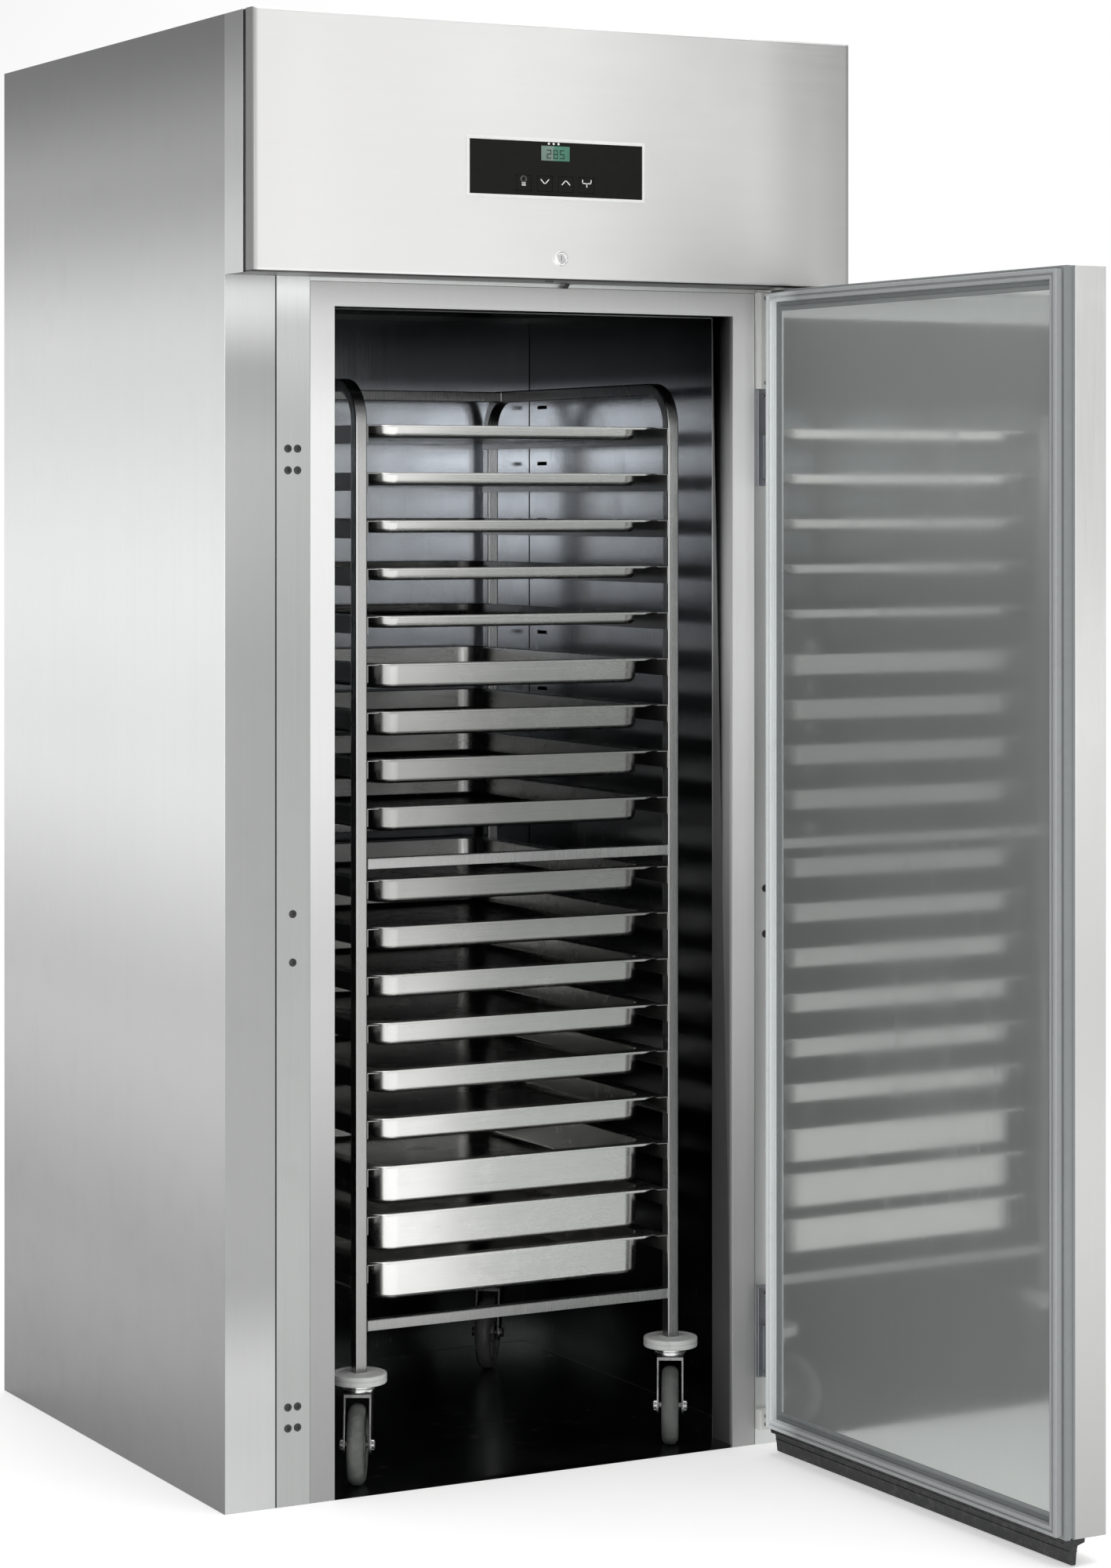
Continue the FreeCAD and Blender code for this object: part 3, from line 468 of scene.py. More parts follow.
def cast_metal(name, tint, rough, pits=0.0002, stain=(0.5, 0.5, 0.5), stain_amount=0.25, metallic=1.0):
    """Plated, pressed or cast metal with a slightly uneven skin and darker staining."""
    g = Graph(name)
    grit = g.noise(700.0, detail=4.0)
    blotch = g.noise(38.0, detail=5.0, rough=0.6)
    tone = g.between(g.spread(blotch, 0, stain_amount, 0.45, 0.75), tint, stain)
    g.set(Base_Color=g.colour(tone, g.spread(grit, 0.93, 1.05)), Metallic=metallic,
          Roughness=g.math("ADD", g.spread(grit, rough - 0.04, rough + 0.06), g.spread(blotch, 0, 0.12)))
    g.bump(g.math("ADD", grit, g.math("MULTIPLY", blotch, 0.6)), pits)
    return g.material


def plastic(name, colour, rough, speckle=0.06, texture=0.00006, dust=None, dust_amount=0.15, shine=0.5,
            free_edge_shade=1.0):
    """Moulded plastic: fine spark-eroded texture, faint flow marks and a little dust.

    On the door its tone runs from full at the hinges down to the given level at the free edge, as painted
    shade.
    """
    g = Graph(name)
    grain = g.noise(1500.0, detail=3.0)
    flow = g.noise((9.0, 9.0, 3.0), detail=3.0)
    tone = colour
    if dust:
        grime = g.noise(60.0, detail=6.0, rough=0.7)
        tone = g.between(g.spread(grime, 0, dust_amount, 0.5, 0.72), colour, dust)
    level = g.math("ADD", g.spread(grain, 1 - speckle, 1 + speckle), g.spread(flow, -0.04, 0.04))
    # painted shade towards the door's free edge
    if free_edge_shade < 1:
        level = g.math("MULTIPLY", level, g.spread(g.axis("y"), 1, free_edge_shade, hinge.y - 0.03, hinge.y - 0.12))
    uneven = g.math("ADD", g.spread(grain, rough - 0.05, rough + 0.05), g.spread(flow, -0.03, 0.03))
    g.set(Base_Color=g.colour(tone, level), Roughness=uneven, Specular_IOR_Level=shine)
    g.bump(grain, texture)
    return g.material


def foam(name, colour):
    """Closed-cell foam, with painted shade near the floor where it shows in the gap by the floor plate."""
    g = Graph(name)
    cells = g.add("ShaderNodeTexVoronoi")
    g.feed(cells.inputs["Vector"], g.place)
    cells.inputs["Scale"].default_value = 700.0
    cell = cells.outputs["Distance"]
    age = g.noise(8.0, detail=4.0)
    level = g.math("ADD", g.spread(cell, 0.8, 1.05, 0, 0.8), g.spread(age, -0.08, 0.08))
    # painted shade low down, in the gap between floor plate and liner
    level = g.math("MULTIPLY", level, g.spread(g.axis("z"), 0.04, 1, 8 * mm, 14 * mm))
    g.set(Base_Color=g.colour(colour, level), Roughness=0.92)
    g.bump(cell, 0.0006)
    return g.material


def screen(name, colour, plain):
    """Liquid-crystal screen: a fine dot raster behind a glossy front, with a plainer field at its left."""
    g = Graph(name)
    waves = []
    for axis in "xz":
        wave = g.math("SINE", g.math("MULTIPLY", g.axis(axis), math.tau / (0.45 * mm)))
        waves.append(g.spread(wave, 0.93, 1.03, -1, 1))
    shade = g.noise((30.0, 30.0, 30.0), detail=1.0)
    level = g.math("MULTIPLY", g.math("MULTIPLY", waves[0], waves[1]), g.spread(shade, 0.85, 1.15))
    middle = (lcd_low.x + lcd_high.x) / 2
    field = g.spread(g.axis("x"), 0, 1, middle - 5 * mm, middle - 2 * mm)
    tone = g.colour(g.between(field, plain, colour), level)
    g.set(Base_Color=tone, Roughness=g.spread(shade, 0.12, 0.2), Specular_IOR_Level=0.2,
          Emission_Color=tone, Emission_Strength=0.3)
    return g.material


# Painted light and shade over the height or the width, as (share of it, level) stops: each table lightens or
# darkens a surface where the studio's reflections and shadows fall on it.

side_painted_light = [(0.0, 0.25), (0.14, 0.35), (0.32, 0.61), (0.50, 1.00), (0.62, 1.10), (0.78, 0.96),
               (0.90, 0.56), (1.0, 0.30)]
cheek_painted_light = [(0.0, 0.80), (0.84, 0.94), (0.92, 0.74), (1.0, 0.46)]
door_painted_light = [(0.0, 0.50), (0.3, 0.72), (0.6, 0.95), (1.0, 0.92)]
fold_painted_light = [(0.0, 0.72), (0.08, 0.66), (0.16, 0.42), (0.55, 0.40), (0.70, 0.50), (0.76, 0.44),
               (0.81, 0.80)]
jamb_painted_light = [(0.0, 0.9), (0.12, 0.80), (0.55, 0.72), (0.72, 0.86), (0.79, 1.05), (0.83, 1.8)]
frame_painted_light = [(0.0, 0.38), (0.15, 0.42), (0.35, 0.62), (0.52, 0.84), (0.72, 0.92), (0.79, 0.80),
                (0.83, 0.62)]
inner_painted_light = [(0.0, 0.42), (0.006, 0.36), (0.03, 0.05), (0.3, 0.10), (0.5, 0.50), (0.66, 1.2),
                (0.72, 1.0), (0.765, 0.3), (0.83, 0.2)]
duct_painted_light = [(0.0, 0.05), (0.3, 0.10), (0.45, 0.26), (0.58, 0.52), (0.69, 0.60), (0.715, 0.92),
               (0.75, 0.90), (0.772, 0.14), (0.83, 0.08)]
rear_duct_painted_light = [(0.0, 0.05), (0.3, 0.10), (0.45, 0.35), (0.58, 1.05), (0.71, 1.55), (0.75, 1.15),
                    (0.772, 0.24), (0.83, 0.18)]
side_painted_light_across = [(0.0, 1.0), (0.05, 1.0), (0.6, 0.82), (1.0, 0.78)]
reveal_painted_light = [(0.0, 0.25), (0.3, 0.25), (0.5, 0.6), (0.62, 1.1), (0.72, 0.8), (0.77, 0.35)]
frame_painted_light_across = [(0.0, 1.0), (0.8, 1.0), (0.9, 1.18)]
jamb_painted_light_across = [(0.0, 1.0), (0.8, 1.0), (0.92, 1.6)]
header_painted_light = [(0.0, 0.36), (0.002, 0.46), (0.009, 0.84), (0.1, 0.88), (0.5, 1.0), (0.82, 0.85),
                (0.93, 0.66), (0.991, 0.58), (1.0, 0.30)]
post_painted_light = [(0.0, 0.40), (0.25, 0.48), (0.5, 0.56), (0.70, 0.64), (0.725, 0.5), (0.745, 0.24),
               (0.78, 0.20)]
pan_painted_light = [(0.1, 1.05), (0.2, 1.0), (0.3, 0.78), (0.42, 0.48), (0.5, 0.46), (0.6, 0.7), (0.73, 0.95)]
liner_painted_light = [(0.0, 1.3), (0.1, 1.1), (0.35, 0.96), (0.6, 0.96), (0.72, 1.3), (0.83, 1.45)]

# The steel finishes given levels, across, fold, inward or under carry painted light and shade, so
# cheek_steel, door_steel, front_steel, jamb_steel and rear_duct_steel are copies of one steel with painted
# light of their own.
materials = {
    "brushed_steel": steel("brushed_steel", (0.79, 0.80, 0.795), 0.33, levels=side_painted_light, streaks=0.025,
                           clouds=0.02, fold=fold_painted_light, across=side_painted_light_across),
    "door_steel": steel("door_steel", (0.79, 0.795, 0.785), 0.36, levels=door_painted_light, streaks=0.02,
                        clouds=0.02),
    "front_steel": steel("front_steel", (0.86, 0.855, 0.85), 0.40, grain="x", streaks=0.012, clouds=0.01,
                         across=header_painted_light, wave=0.1, under=0.16),
    "cheek_steel": steel("cheek_steel", (0.79, 0.80, 0.795), 0.33, levels=cheek_painted_light, streaks=0.025,
                         clouds=0.02),
    "jamb_steel": steel("jamb_steel", (0.50, 0.51, 0.505), 0.34, streaks=0.04, levels=jamb_painted_light,
                        across=jamb_painted_light_across),
    "inner_steel": steel("inner_steel", (0.60, 0.62, 0.62), 0.20, levels=inner_painted_light, turn=0.2),
    "foam": foam("foam", (0.78, 0.72, 0.50)),
    "frame_aluminium": steel("frame_aluminium", (0.86, 0.865, 0.86), 0.42, streaks=0.02, clouds=0.02,
                             levels=frame_painted_light, metallic=0.35, inward=reveal_painted_light, across=frame_painted_light_across),
    "duct_steel": steel("duct_steel", (0.78, 0.80, 0.82), 0.19, levels=duct_painted_light, turn=0.5, streaks=0.05),
    "rear_duct_steel": steel("rear_duct_steel", (0.42, 0.44, 0.47), 0.17, levels=rear_duct_painted_light, turn=0.5,
                             streaks=0.06),
    "black_plastic": plastic("black_plastic", (0.018, 0.018, 0.018), 0.42, dust=(0.16, 0.16, 0.15)),
    "display_black": plastic("display_black", (0.007, 0.007, 0.006), 0.42, speckle=0.15, texture=0.00001,
                             dust=(0.02, 0.02, 0.018), dust_amount=0.2, shine=0.12),
    "lcd": screen("lcd", (0.06, 0.155, 0.115), (0.13, 0.18, 0.155)),
    "bezel_grey": plastic("bezel_grey", (0.72, 0.73, 0.71), 0.38, dust=(0.55, 0.55, 0.52)),
    "control_plastic": plastic("control_plastic", (0.09, 0.095, 0.10), 0.5, dust=(0.3, 0.3, 0.28)),
    "lock_chrome": cast_metal("lock_chrome", (0.86, 0.86, 0.86), 0.14, pits=0.00002),
    "compressor_black": cast_metal("compressor_black", (0.02, 0.02, 0.022), 0.38, pits=0.0001,
                                   stain=(0.09, 0.085, 0.08), metallic=0.0),
    "fin_aluminium": steel("fin_aluminium", (0.78, 0.79, 0.80), 0.34, streaks=0.1),
    "fan_plastic": plastic("fan_plastic", (0.035, 0.036, 0.038), 0.45, dust=(0.25, 0.24, 0.22),
                           dust_amount=0.4),
    "heater_steel": cast_metal("heater_steel", (0.34, 0.31, 0.28), 0.36, stain=(0.16, 0.12, 0.10)),
    "humidifier_steel": steel("humidifier_steel", (0.62, 0.63, 0.64), 0.28),
    "hinge_grey": cast_metal("hinge_grey", (0.37, 0.385, 0.405), 0.36, pits=0.00006,
                             stain=(0.20, 0.22, 0.24)),
    "leaf_grey": cast_metal("leaf_grey", (0.11, 0.12, 0.12), 0.38, pits=0.00006,
                            stain=(0.06, 0.065, 0.065)),
    "liner_mirror": steel("liner_mirror", (0.39, 0.41, 0.40), 0.075, turn=0.1, streaks=0.015, clouds=0.015,
                          wave=0.05, metallic=0.62, levels=liner_painted_light, relief=0.000003),
    "profile_grey": plastic("profile_grey", (0.19, 0.205, 0.205), 0.4, dust=(0.3, 0.3, 0.29)),
    "gasket_grey": plastic("gasket_grey", (0.80, 0.835, 0.84), 0.5, dust=(0.5, 0.51, 0.51), texture=0.00003,
                           free_edge_shade=0.36),
    "sweep_rubber": plastic("sweep_rubber", (0.013, 0.014, 0.014), 0.6, texture=0.0001,
                            dust=(0.10, 0.10, 0.095), dust_amount=0.5),
    "cup_plastic": plastic("cup_plastic", (0.05, 0.052, 0.055), 0.4, dust=(0.2, 0.2, 0.2)),
    "trolley_steel": steel("trolley_steel", (0.74, 0.74, 0.735), 0.25, streaks=0.02, turn=0.3,
                           levels=post_painted_light, relief=0.000003),
    "runner_steel": steel("runner_steel", (0.40, 0.40, 0.395), 0.3, grain="y", turn=0.3, relief=0.000003),
    "pan_steel": steel("pan_steel", (0.76, 0.757, 0.745), 0.22, grain="x", turn=0.15, clouds=0.02,
                       streaks=0.008, marks=0.05, levels=pan_painted_light, relief=0.0),
    "bumper_grey": plastic("bumper_grey", (0.55, 0.56, 0.55), 0.48, dust=(0.33, 0.33, 0.31),
                           dust_amount=0.4),
    "fork_zinc": cast_metal("fork_zinc", (0.25, 0.255, 0.25), 0.22, pits=0.00008, stain=(0.05, 0.05, 0.05),
                            stain_amount=0.7),
    "wheel_grey": plastic("wheel_grey", (0.075, 0.08, 0.076), 0.5, dust=(0.17, 0.17, 0.16),
                          dust_amount=0.6),
    "icon_white": plastic("icon_white", (0.72, 0.74, 0.72), 0.5),
}

for name, node in nodes.items():
    for place in node.material_slots:
        place.material = materials[slot_of[name]]

# ---------------------------------------------------------------- CAD shapes with eased edges

ease_widths = {
    "side_skin_left": 0.5, "side_skin_right": 0.5, "rear_skin": 0.4, "insulation": 1.0, "inner_liner": 0.5,
    "floor_plate": 0.5, "side_duct_panels": 0.4, "duct_panel_rear": 0.4, "jamb_covers": 0.5,
    "door_frame": 0.8, "header_cheeks": 0.5, "header_panel": 0.55, "top_cover": 0.4,
    "display_bezel": 0.3, "display_window": 0.2, "lcd_screen": 0.3, "control_box": 1.0,
    "lock_plug": 0.25, "lock_bolt": 1.0, "door_switch": 0.7, "switch_lever": 0.7,
    "hinge_brackets": 1.4, "hinge_leaves": 1.0, "hinge_covers": 1.2,
    "door_skin": 0.5, "door_liner": 0.4, "door_core": 1.0, "handle_cup": 0.6,
    "cross_bars": 1.6, "runners": 0.5, "key_program": 0.4, "key_down": 0.4, "key_up": 0.4, "key_mode": 0.4,
}
other_finish = {
    "header_panel": "front_steel", "jamb_covers": "jamb_steel", "door_skin": "door_steel",
    "hinge_leaves": "leaf_grey", "header_cheeks": "cheek_steel", "duct_panel_rear": "rear_duct_steel",
}
bends = {"header_panel": 5 * mm}
for name, width in ease_widths.items():
    eased(name, width * mm, other_finish.get(name), bends.get(name, 0.0))

# ---------------------------------------------------------------- door surround


def islands(node):
    """Boxes of a CAD node's separate solids, as (lowest, highest)."""
    work = bmesh.new()
    work.from_mesh(nodes[node].data)
    bmesh.ops.remove_doubles(work, verts=work.verts, dist=2e-6)
    found, seen = [], set()
    for start in work.verts:
        if start.index in seen:
            continue
        stack, group = [start], []
        seen.add(start.index)
        while stack:
            vertex = stack.pop()
            group.append(vertex.co.copy())
            for edge in vertex.link_edges:
                other = edge.other_vert(vertex)
                if other.index not in seen:
                    seen.add(other.index)
                    stack.append(other)
        found.append((Vector([min(p[i] for p in group) for i in range(3)]),
                      Vector([max(p[i] for p in group) for i in range(3)])))
    work.free()
    return found


def star_ring(radius, depth, height_, points, segments):
    """Circle whose radius swells towards a few points, for a driver recess."""
    ring = []
    for i in range(segments):
        angle = math.tau * i / segments
        r = radius * (1 - depth * (0.5 - 0.5 * math.cos(points * angle)))
        ring.append((r * math.cos(angle), r * math.sin(angle), height_))
    return ring


def screw_head(radius, proud):
    """Pan head about +Z with a cross recess."""
    segments = 32
    profile = [(1.0, 0.0), (1.0, 0.35), (0.93, 0.62), (0.78, 0.85), (0.62, 0.96)]
    rings = [
        [(radius * r * math.cos(math.tau * i / segments), radius * r * math.sin(math.tau * i / segments),
          proud * h) for i in range(segments)]
        for r, h in profile
    ]
    rings.append(star_ring(radius * 0.5, 0.7, proud, 4, segments))
    rings.append(star_ring(radius * 0.42, 0.7, proud * 0.25, 4, segments))
    return loft(rings)


plug_parts = []
for low, high in islands("hole_plugs"):
    centre = (low + high) / 2
    radius = (high.x - low.x) / 2
    proud = front - low.y
    head = screw_head(radius, proud)
    stem = lathe([(0.7 * radius, -1.1 * mm), (0.7 * radius, 0.0)], 24)
    plug_parts.append(moved(joined([head, stem]), facing((0, -1, 0), (centre.x, front, centre.z))))
piece("hole_plug_heads", "cabinet", "black_plastic", joined(plug_parts), ["hole_plugs"])

# ---------------------------------------------------------------- louvre blades behind the rear slots

louvre_bottom, louvre_top, louvre_rows = 2000 * mm, 2220 * mm, 9
louvre_middle, louvre_half = 240 * mm, 179 * mm
louvre_outline = [(0.3, 5.4), (-1.2, 5.5), (-5.5, 3.6), (-10.0, -0.2), (-12.0, -4.2), (-11.1, -4.6),
                  (-9.2, -0.9), (-5.0, 2.7), (-1.0, 4.4), (0.3, 4.4)]
louvre_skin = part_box("rear_skin")[1].y - 1.2 * mm
louvre_parts = []
for middle in (-louvre_middle, louvre_middle):
    for row in range(louvre_rows):
        z = louvre_bottom + (louvre_top - louvre_bottom) * row / (louvre_rows - 1)
        louvre_parts.append(loft([[(x, louvre_skin + a * mm, z + b * mm) for a, b in louvre_outline]
                                  for x in (middle - louvre_half, middle + louvre_half)]))
piece("louvre_blades", "cabinet", "brushed_steel", joined(louvre_parts))

# ---------------------------------------------------------------- display, keys and lock


def strokes(lines, width, y0, y1):
    """Raised strokes in the XZ plane, each a run of points."""
    parts = []
    for line in lines:
        for a, b in zip(line, line[1:]):
            a, b = Vector((a[0], 0, a[1])), Vector((b[0], 0, b[1]))
            run = (b - a).normalized() * width / 2
            side = Vector((-run.z, 0, run.x))
            corners = [a - run - side, b + run - side, b + run + side, a - run + side]
            parts.append(loft([[(c.x, y, c.z) for c in corners] for y in (y0, y1)]))
    return joined(parts)


def circle(x, z, radius, count=20):
    return [(x + radius * math.cos(math.tau * i / count), z + radius * math.sin(math.tau * i / count))
            for i in range(count + 1)]


def icon(name):
    """Plain sign of each key, about its centre, in millimetres."""
    return {
        "key_program": [circle(0, 2.2, 3.0), [(-1.8, -2.2), (1.8, -2.2)], [(-1.8, -4.2), (1.8, -4.2)]],
        "key_down": [[(-4.5, 2.2), (0, -2.4), (4.5, 2.2)]],
        "key_up": [[(-4.5, -2.2), (0, 2.4), (4.5, -2.2)]],
        "key_mode": [[(-5, 0), (5, 0)], [(-5, 0), (-5, 3.4)], [(5, 0), (5, 3.4)], [(0, 0), (0, -3.6)]],
    }[name]


sign_scale, sign_raise = 1.5 * mm, 3 * mm
for name in ("key_program", "key_down", "key_up", "key_mode"):
    low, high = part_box(name)
    centre = (low + high) / 2
    lines = [[(centre.x + x * sign_scale, centre.z + sign_raise + z * sign_scale) for x, z in line]
             for line in icon(name)]
    piece(name + "_sign", name, "bezel_grey", strokes(lines, 1.5 * mm, low.y - 0.12 * mm, low.y + 0.2 * mm),
          finish="icon_white")

digit_strokes = {
    "2": [(0, 2), (1, 2), (1, 1), (0, 1), (0, 0), (1, 0)],
    "8": [(0, 1), (1, 1), (1, 2), (0, 2), (0, 0), (1, 0), (1, 1)],
    "5": [(1, 2), (0, 2), (0, 1), (1, 1), (1, 0), (0, 0)],
}
digit_width, digit_height, digit_pitch = 6.5 * mm, 6.2 * mm, 11.5 * mm
digit_left = (lcd_low.x + lcd_high.x) / 2 - 1.28 * digit_pitch
digit_bottom = lcd_low.z + 4.0 * mm
digit_lines = [
    [(digit_left + i * digit_pitch + x * digit_width, digit_bottom + z * digit_height)
     for x, z in digit_strokes[digit]]
    for i, digit in enumerate("285")
]
piece("lcd_digits", "cabinet", "display_black",
      strokes(digit_lines, 1.2 * mm, lcd_low.y - 0.1 * mm, lcd_low.y + 0.2 * mm))
lamp_profile = [(1.9 * mm, -0.3 * mm), (1.9 * mm, 0.2 * mm), (1.5 * mm, 0.5 * mm), (0.6 * mm, 0.65 * mm)]
lamp_height = (lcd_high.z + window_high.z) / 2 + 0.5 * mm
lamp_parts = []
for i in range(3):
    place = (lcd_low.x + (13 + 8.5 * i) * mm, window_low.y, lamp_height)
    lamp_parts.append(moved(lathe(lamp_profile, 20), facing((0, -1, 0), place)))
piece("signal_lamps", "cabinet", "bezel_grey", joined(lamp_parts), finish="icon_white")

lock_low, lock_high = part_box("lock_body")
lock_x, lock_z = (lock_low.x + lock_high.x) / 2, (lock_low.z + lock_high.z) / 2
header_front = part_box("header_panel")[0].y
ring_section = [(6.6, 3.6), (7.4, 3.95), (8.0, 3.3), (9.0, 3.1), (9.8, 3.7), (10.9, 3.6), (11.7, 2.7),
                (12.0, 1.4), (12.0, 0.0), (9.5, 0.0), (9.5, -24.0), (6.6, -24.0)]
piece("lock_ring", "cabinet", "lock_chrome",
      moved(ring_lathe(in_metres(ring_section), 64),
            facing((0, -1, 0), (lock_x, header_front, lock_z))), ["lock_body"])

# ---------------------------------------------------------------- door


def on_door(part):
    """Move a part drawn for the closed door to the door's rest pose."""
    return moved(part, door_turn)


inner_y = liner_high.y
split_y = profile_low.y
dart = (gasket_low.x + 7.5 * mm) - door_low.x
profile_section = [
    (0.0, split_y), (0.0, split_y + 3 * mm), (1.6 * mm, split_y + 4 * mm), (1.6 * mm, split_y + 7 * mm),
    (0.0, split_y + 8 * mm), (0.0, inner_y - 2.2 * mm), (0.7 * mm, inner_y - 0.7 * mm), (2.2 * mm, inner_y),
    (dart - 2.2 * mm, inner_y), (dart - 2.2 * mm, inner_y - 4 * mm), (dart + 2.2 * mm, inner_y - 4 * mm),
    (dart + 2.2 * mm, inner_y), (24.0 * mm, inner_y), (24.6 * mm, inner_y - 1.4 * mm),
    (26.6 * mm, inner_y - 1.4 * mm), (27.2 * mm, inner_y),
    (33.0 * mm, inner_y), (34.0 * mm, inner_y - 0.6 * mm), (34.0 * mm, split_y),
]
piece("door_profile_moulding", "door", "profile_grey",
      on_door(picture_frame(profile_low, profile_high, profile_section)), ["door_profile"])

gasket_outline = [
    (5.4, -3.6), (5.9, -3.9), (9.1, -3.9), (9.6, -3.6), (9.5, -2.4), (8.9, -1.4), (8.9, 0.0),
    (13.6, 0.0), (14.3, 1.4), (13.2, 3.0), (14.8, 4.6), (14.8, 6.6), (13.8, 7.6), (15.0, 8.8), (15.0, 11.2),
    (14.3, 12.6), (13.1, 13.0), (9.3, 13.0), (8.5, 10.4), (6.5, 10.4), (5.7, 13.0), (1.9, 13.0), (0.7, 12.6),
    (0.0, 11.2), (0.0, 8.8), (1.2, 7.6), (0.2, 6.6), (0.2, 4.6), (1.8, 3.0), (0.7, 1.4), (1.4, 0.0),
    (6.1, 0.0), (6.1, -1.4), (5.5, -2.4),
]
gasket_inset = gasket_low.x - door_low.x
gasket_section = [(gasket_inset + a * mm, inner_y + b * mm) for a, b in gasket_outline]
piece("door_gasket_bellows", "door", "gasket_grey",
      on_door(picture_frame(door_low, door_high, gasket_section)), ["door_gasket"])

sweep_corners = [
    (0, 0), (-37, 0), (-37, -3), (-36.4, -3.6), (-37, -4.4), (-36, -6.2), (-24, -9.5), (-22.6, -16),
    (-23.4, -17.2),
    (-22.2, -18.4), (-21.6, -25), (-20.6, -36), (-19.4, -37), (-13.6, -37), (-12.6, -36), (-11.2, -25),
    (-10.4, -18.4), (-9.2, -17.2), (-10.2, -16), (-8.6, -9.5), (-1.0, -6.2), (0, -4.4), (-0.6, -3.6),
    (0, -3),
]
sweep_rings = [
    [(x, sweep_high.y + a * mm, sweep_high.z + b * mm) for a, b in sweep_corners]
    for x in (sweep_low.x, sweep_high.x)
]
piece("door_sweep_blade", "door", "sweep_rubber", on_door(loft(sweep_rings)), ["door_sweep"])

# ---------------------------------------------------------------- hinge screws

screw_parts = []
for low, high in islands("hinge_covers") + islands("hinge_brackets"):
    x = low.x + 11 * mm
    y = low.y if high.y - low.y < 20 * mm else front - 8 * mm
    for z in (low.z + 10 * mm, high.z - 10 * mm):
        screw_parts.append(moved(screw_head(3.6 * mm, 1.8 * mm), facing((0, -1, 0), (x, y, z))))
piece("hinge_screws", "cabinet", "fork_zinc", joined(screw_parts))

# ---------------------------------------------------------------- trolley

side_radius = 60 * mm
tube = 20 * mm
arc_steps = 14


def bent_tube(node):
    """Side frame of the trolley: one square tube with eased corners, bent twice."""
    low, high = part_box(node)
    x = (low.x + high.x) / 2
    y0, y1, top = low.y + tube / 2, high.y - tube / 2, high.z - tube / 2
    path = [(Vector((x, y0, low.z)), Vector((0, 0, 1)))]
    for sign, y, first in ((1, y0 + side_radius, math.pi), (-1, y1 - side_radius, math.pi / 2)):
        for k in range(arc_steps + 1):
            angle = first - math.pi / 2 * k / arc_steps
            spot = Vector((x, y + side_radius * math.cos(angle),
                           top - side_radius + side_radius * math.sin(angle)))
            path.append((spot, Vector((0, math.sin(angle), -math.cos(angle)))))
    path.append((Vector((x, y1, low.z)), Vector((0, 0, -1))))
    half = tube / 2
    section = rounded([(-half, -half), (half, -half), (half, half), (-half, half)], 2.6 * mm, 4)
    across = Vector((1, 0, 0))
    rings = [[spot + across * p.x + across.cross(run) * p.y for p in section] for spot, run in path]
    return loft(rings)


for name in ("trolley_side_left", "trolley_side_right"):
    piece(name + "_tube", "trolley", "trolley_steel", bent_tube(name), [name])

weld_parts = []
for low, high in islands("cross_bars"):
    for x, side in ((low.x, 1), (high.x, -1)):
        grow, reach = 0.9 * mm, 1.6 * mm
        rings = []
        for offset, swell in ((0.0, grow), (reach * 0.6, grow * 0.8), (reach, 0.1 * mm)):
            outline = rounded(
                [(low.y - swell, low.z - swell), (high.y + swell, low.z - swell),
                 (high.y + swell, high.z + swell), (low.y - swell, high.z + swell)], 2.4 * mm, 3)
            rings.append([(x + side * offset, p.x, p.y) for p in outline])
        weld_parts.append(loft(rings))
piece("bar_welds", "trolley", "fork_zinc", joined(weld_parts))

# Pressed pans

pan_sheet = 0.9 * mm
corner_steps = 7


def pan_ring(half_x, half_y, radius, z):
    """Rounded rectangle; z is a number or a rule of the point's place."""
    points = []
    for sx, sy, start in ((1, 1, 0), (-1, 1, 90), (-1, -1, 180), (1, -1, 270)):
        for k in range(corner_steps + 1):
            angle = math.radians(start + 90 * k / corner_steps)
            points.append((sx * (half_x - radius) + radius * math.cos(angle),
                           sy * (half_y - radius) + radius * math.sin(angle)))
    return [(x, y, z(x, y) if callable(z) else z) for x, y in points]


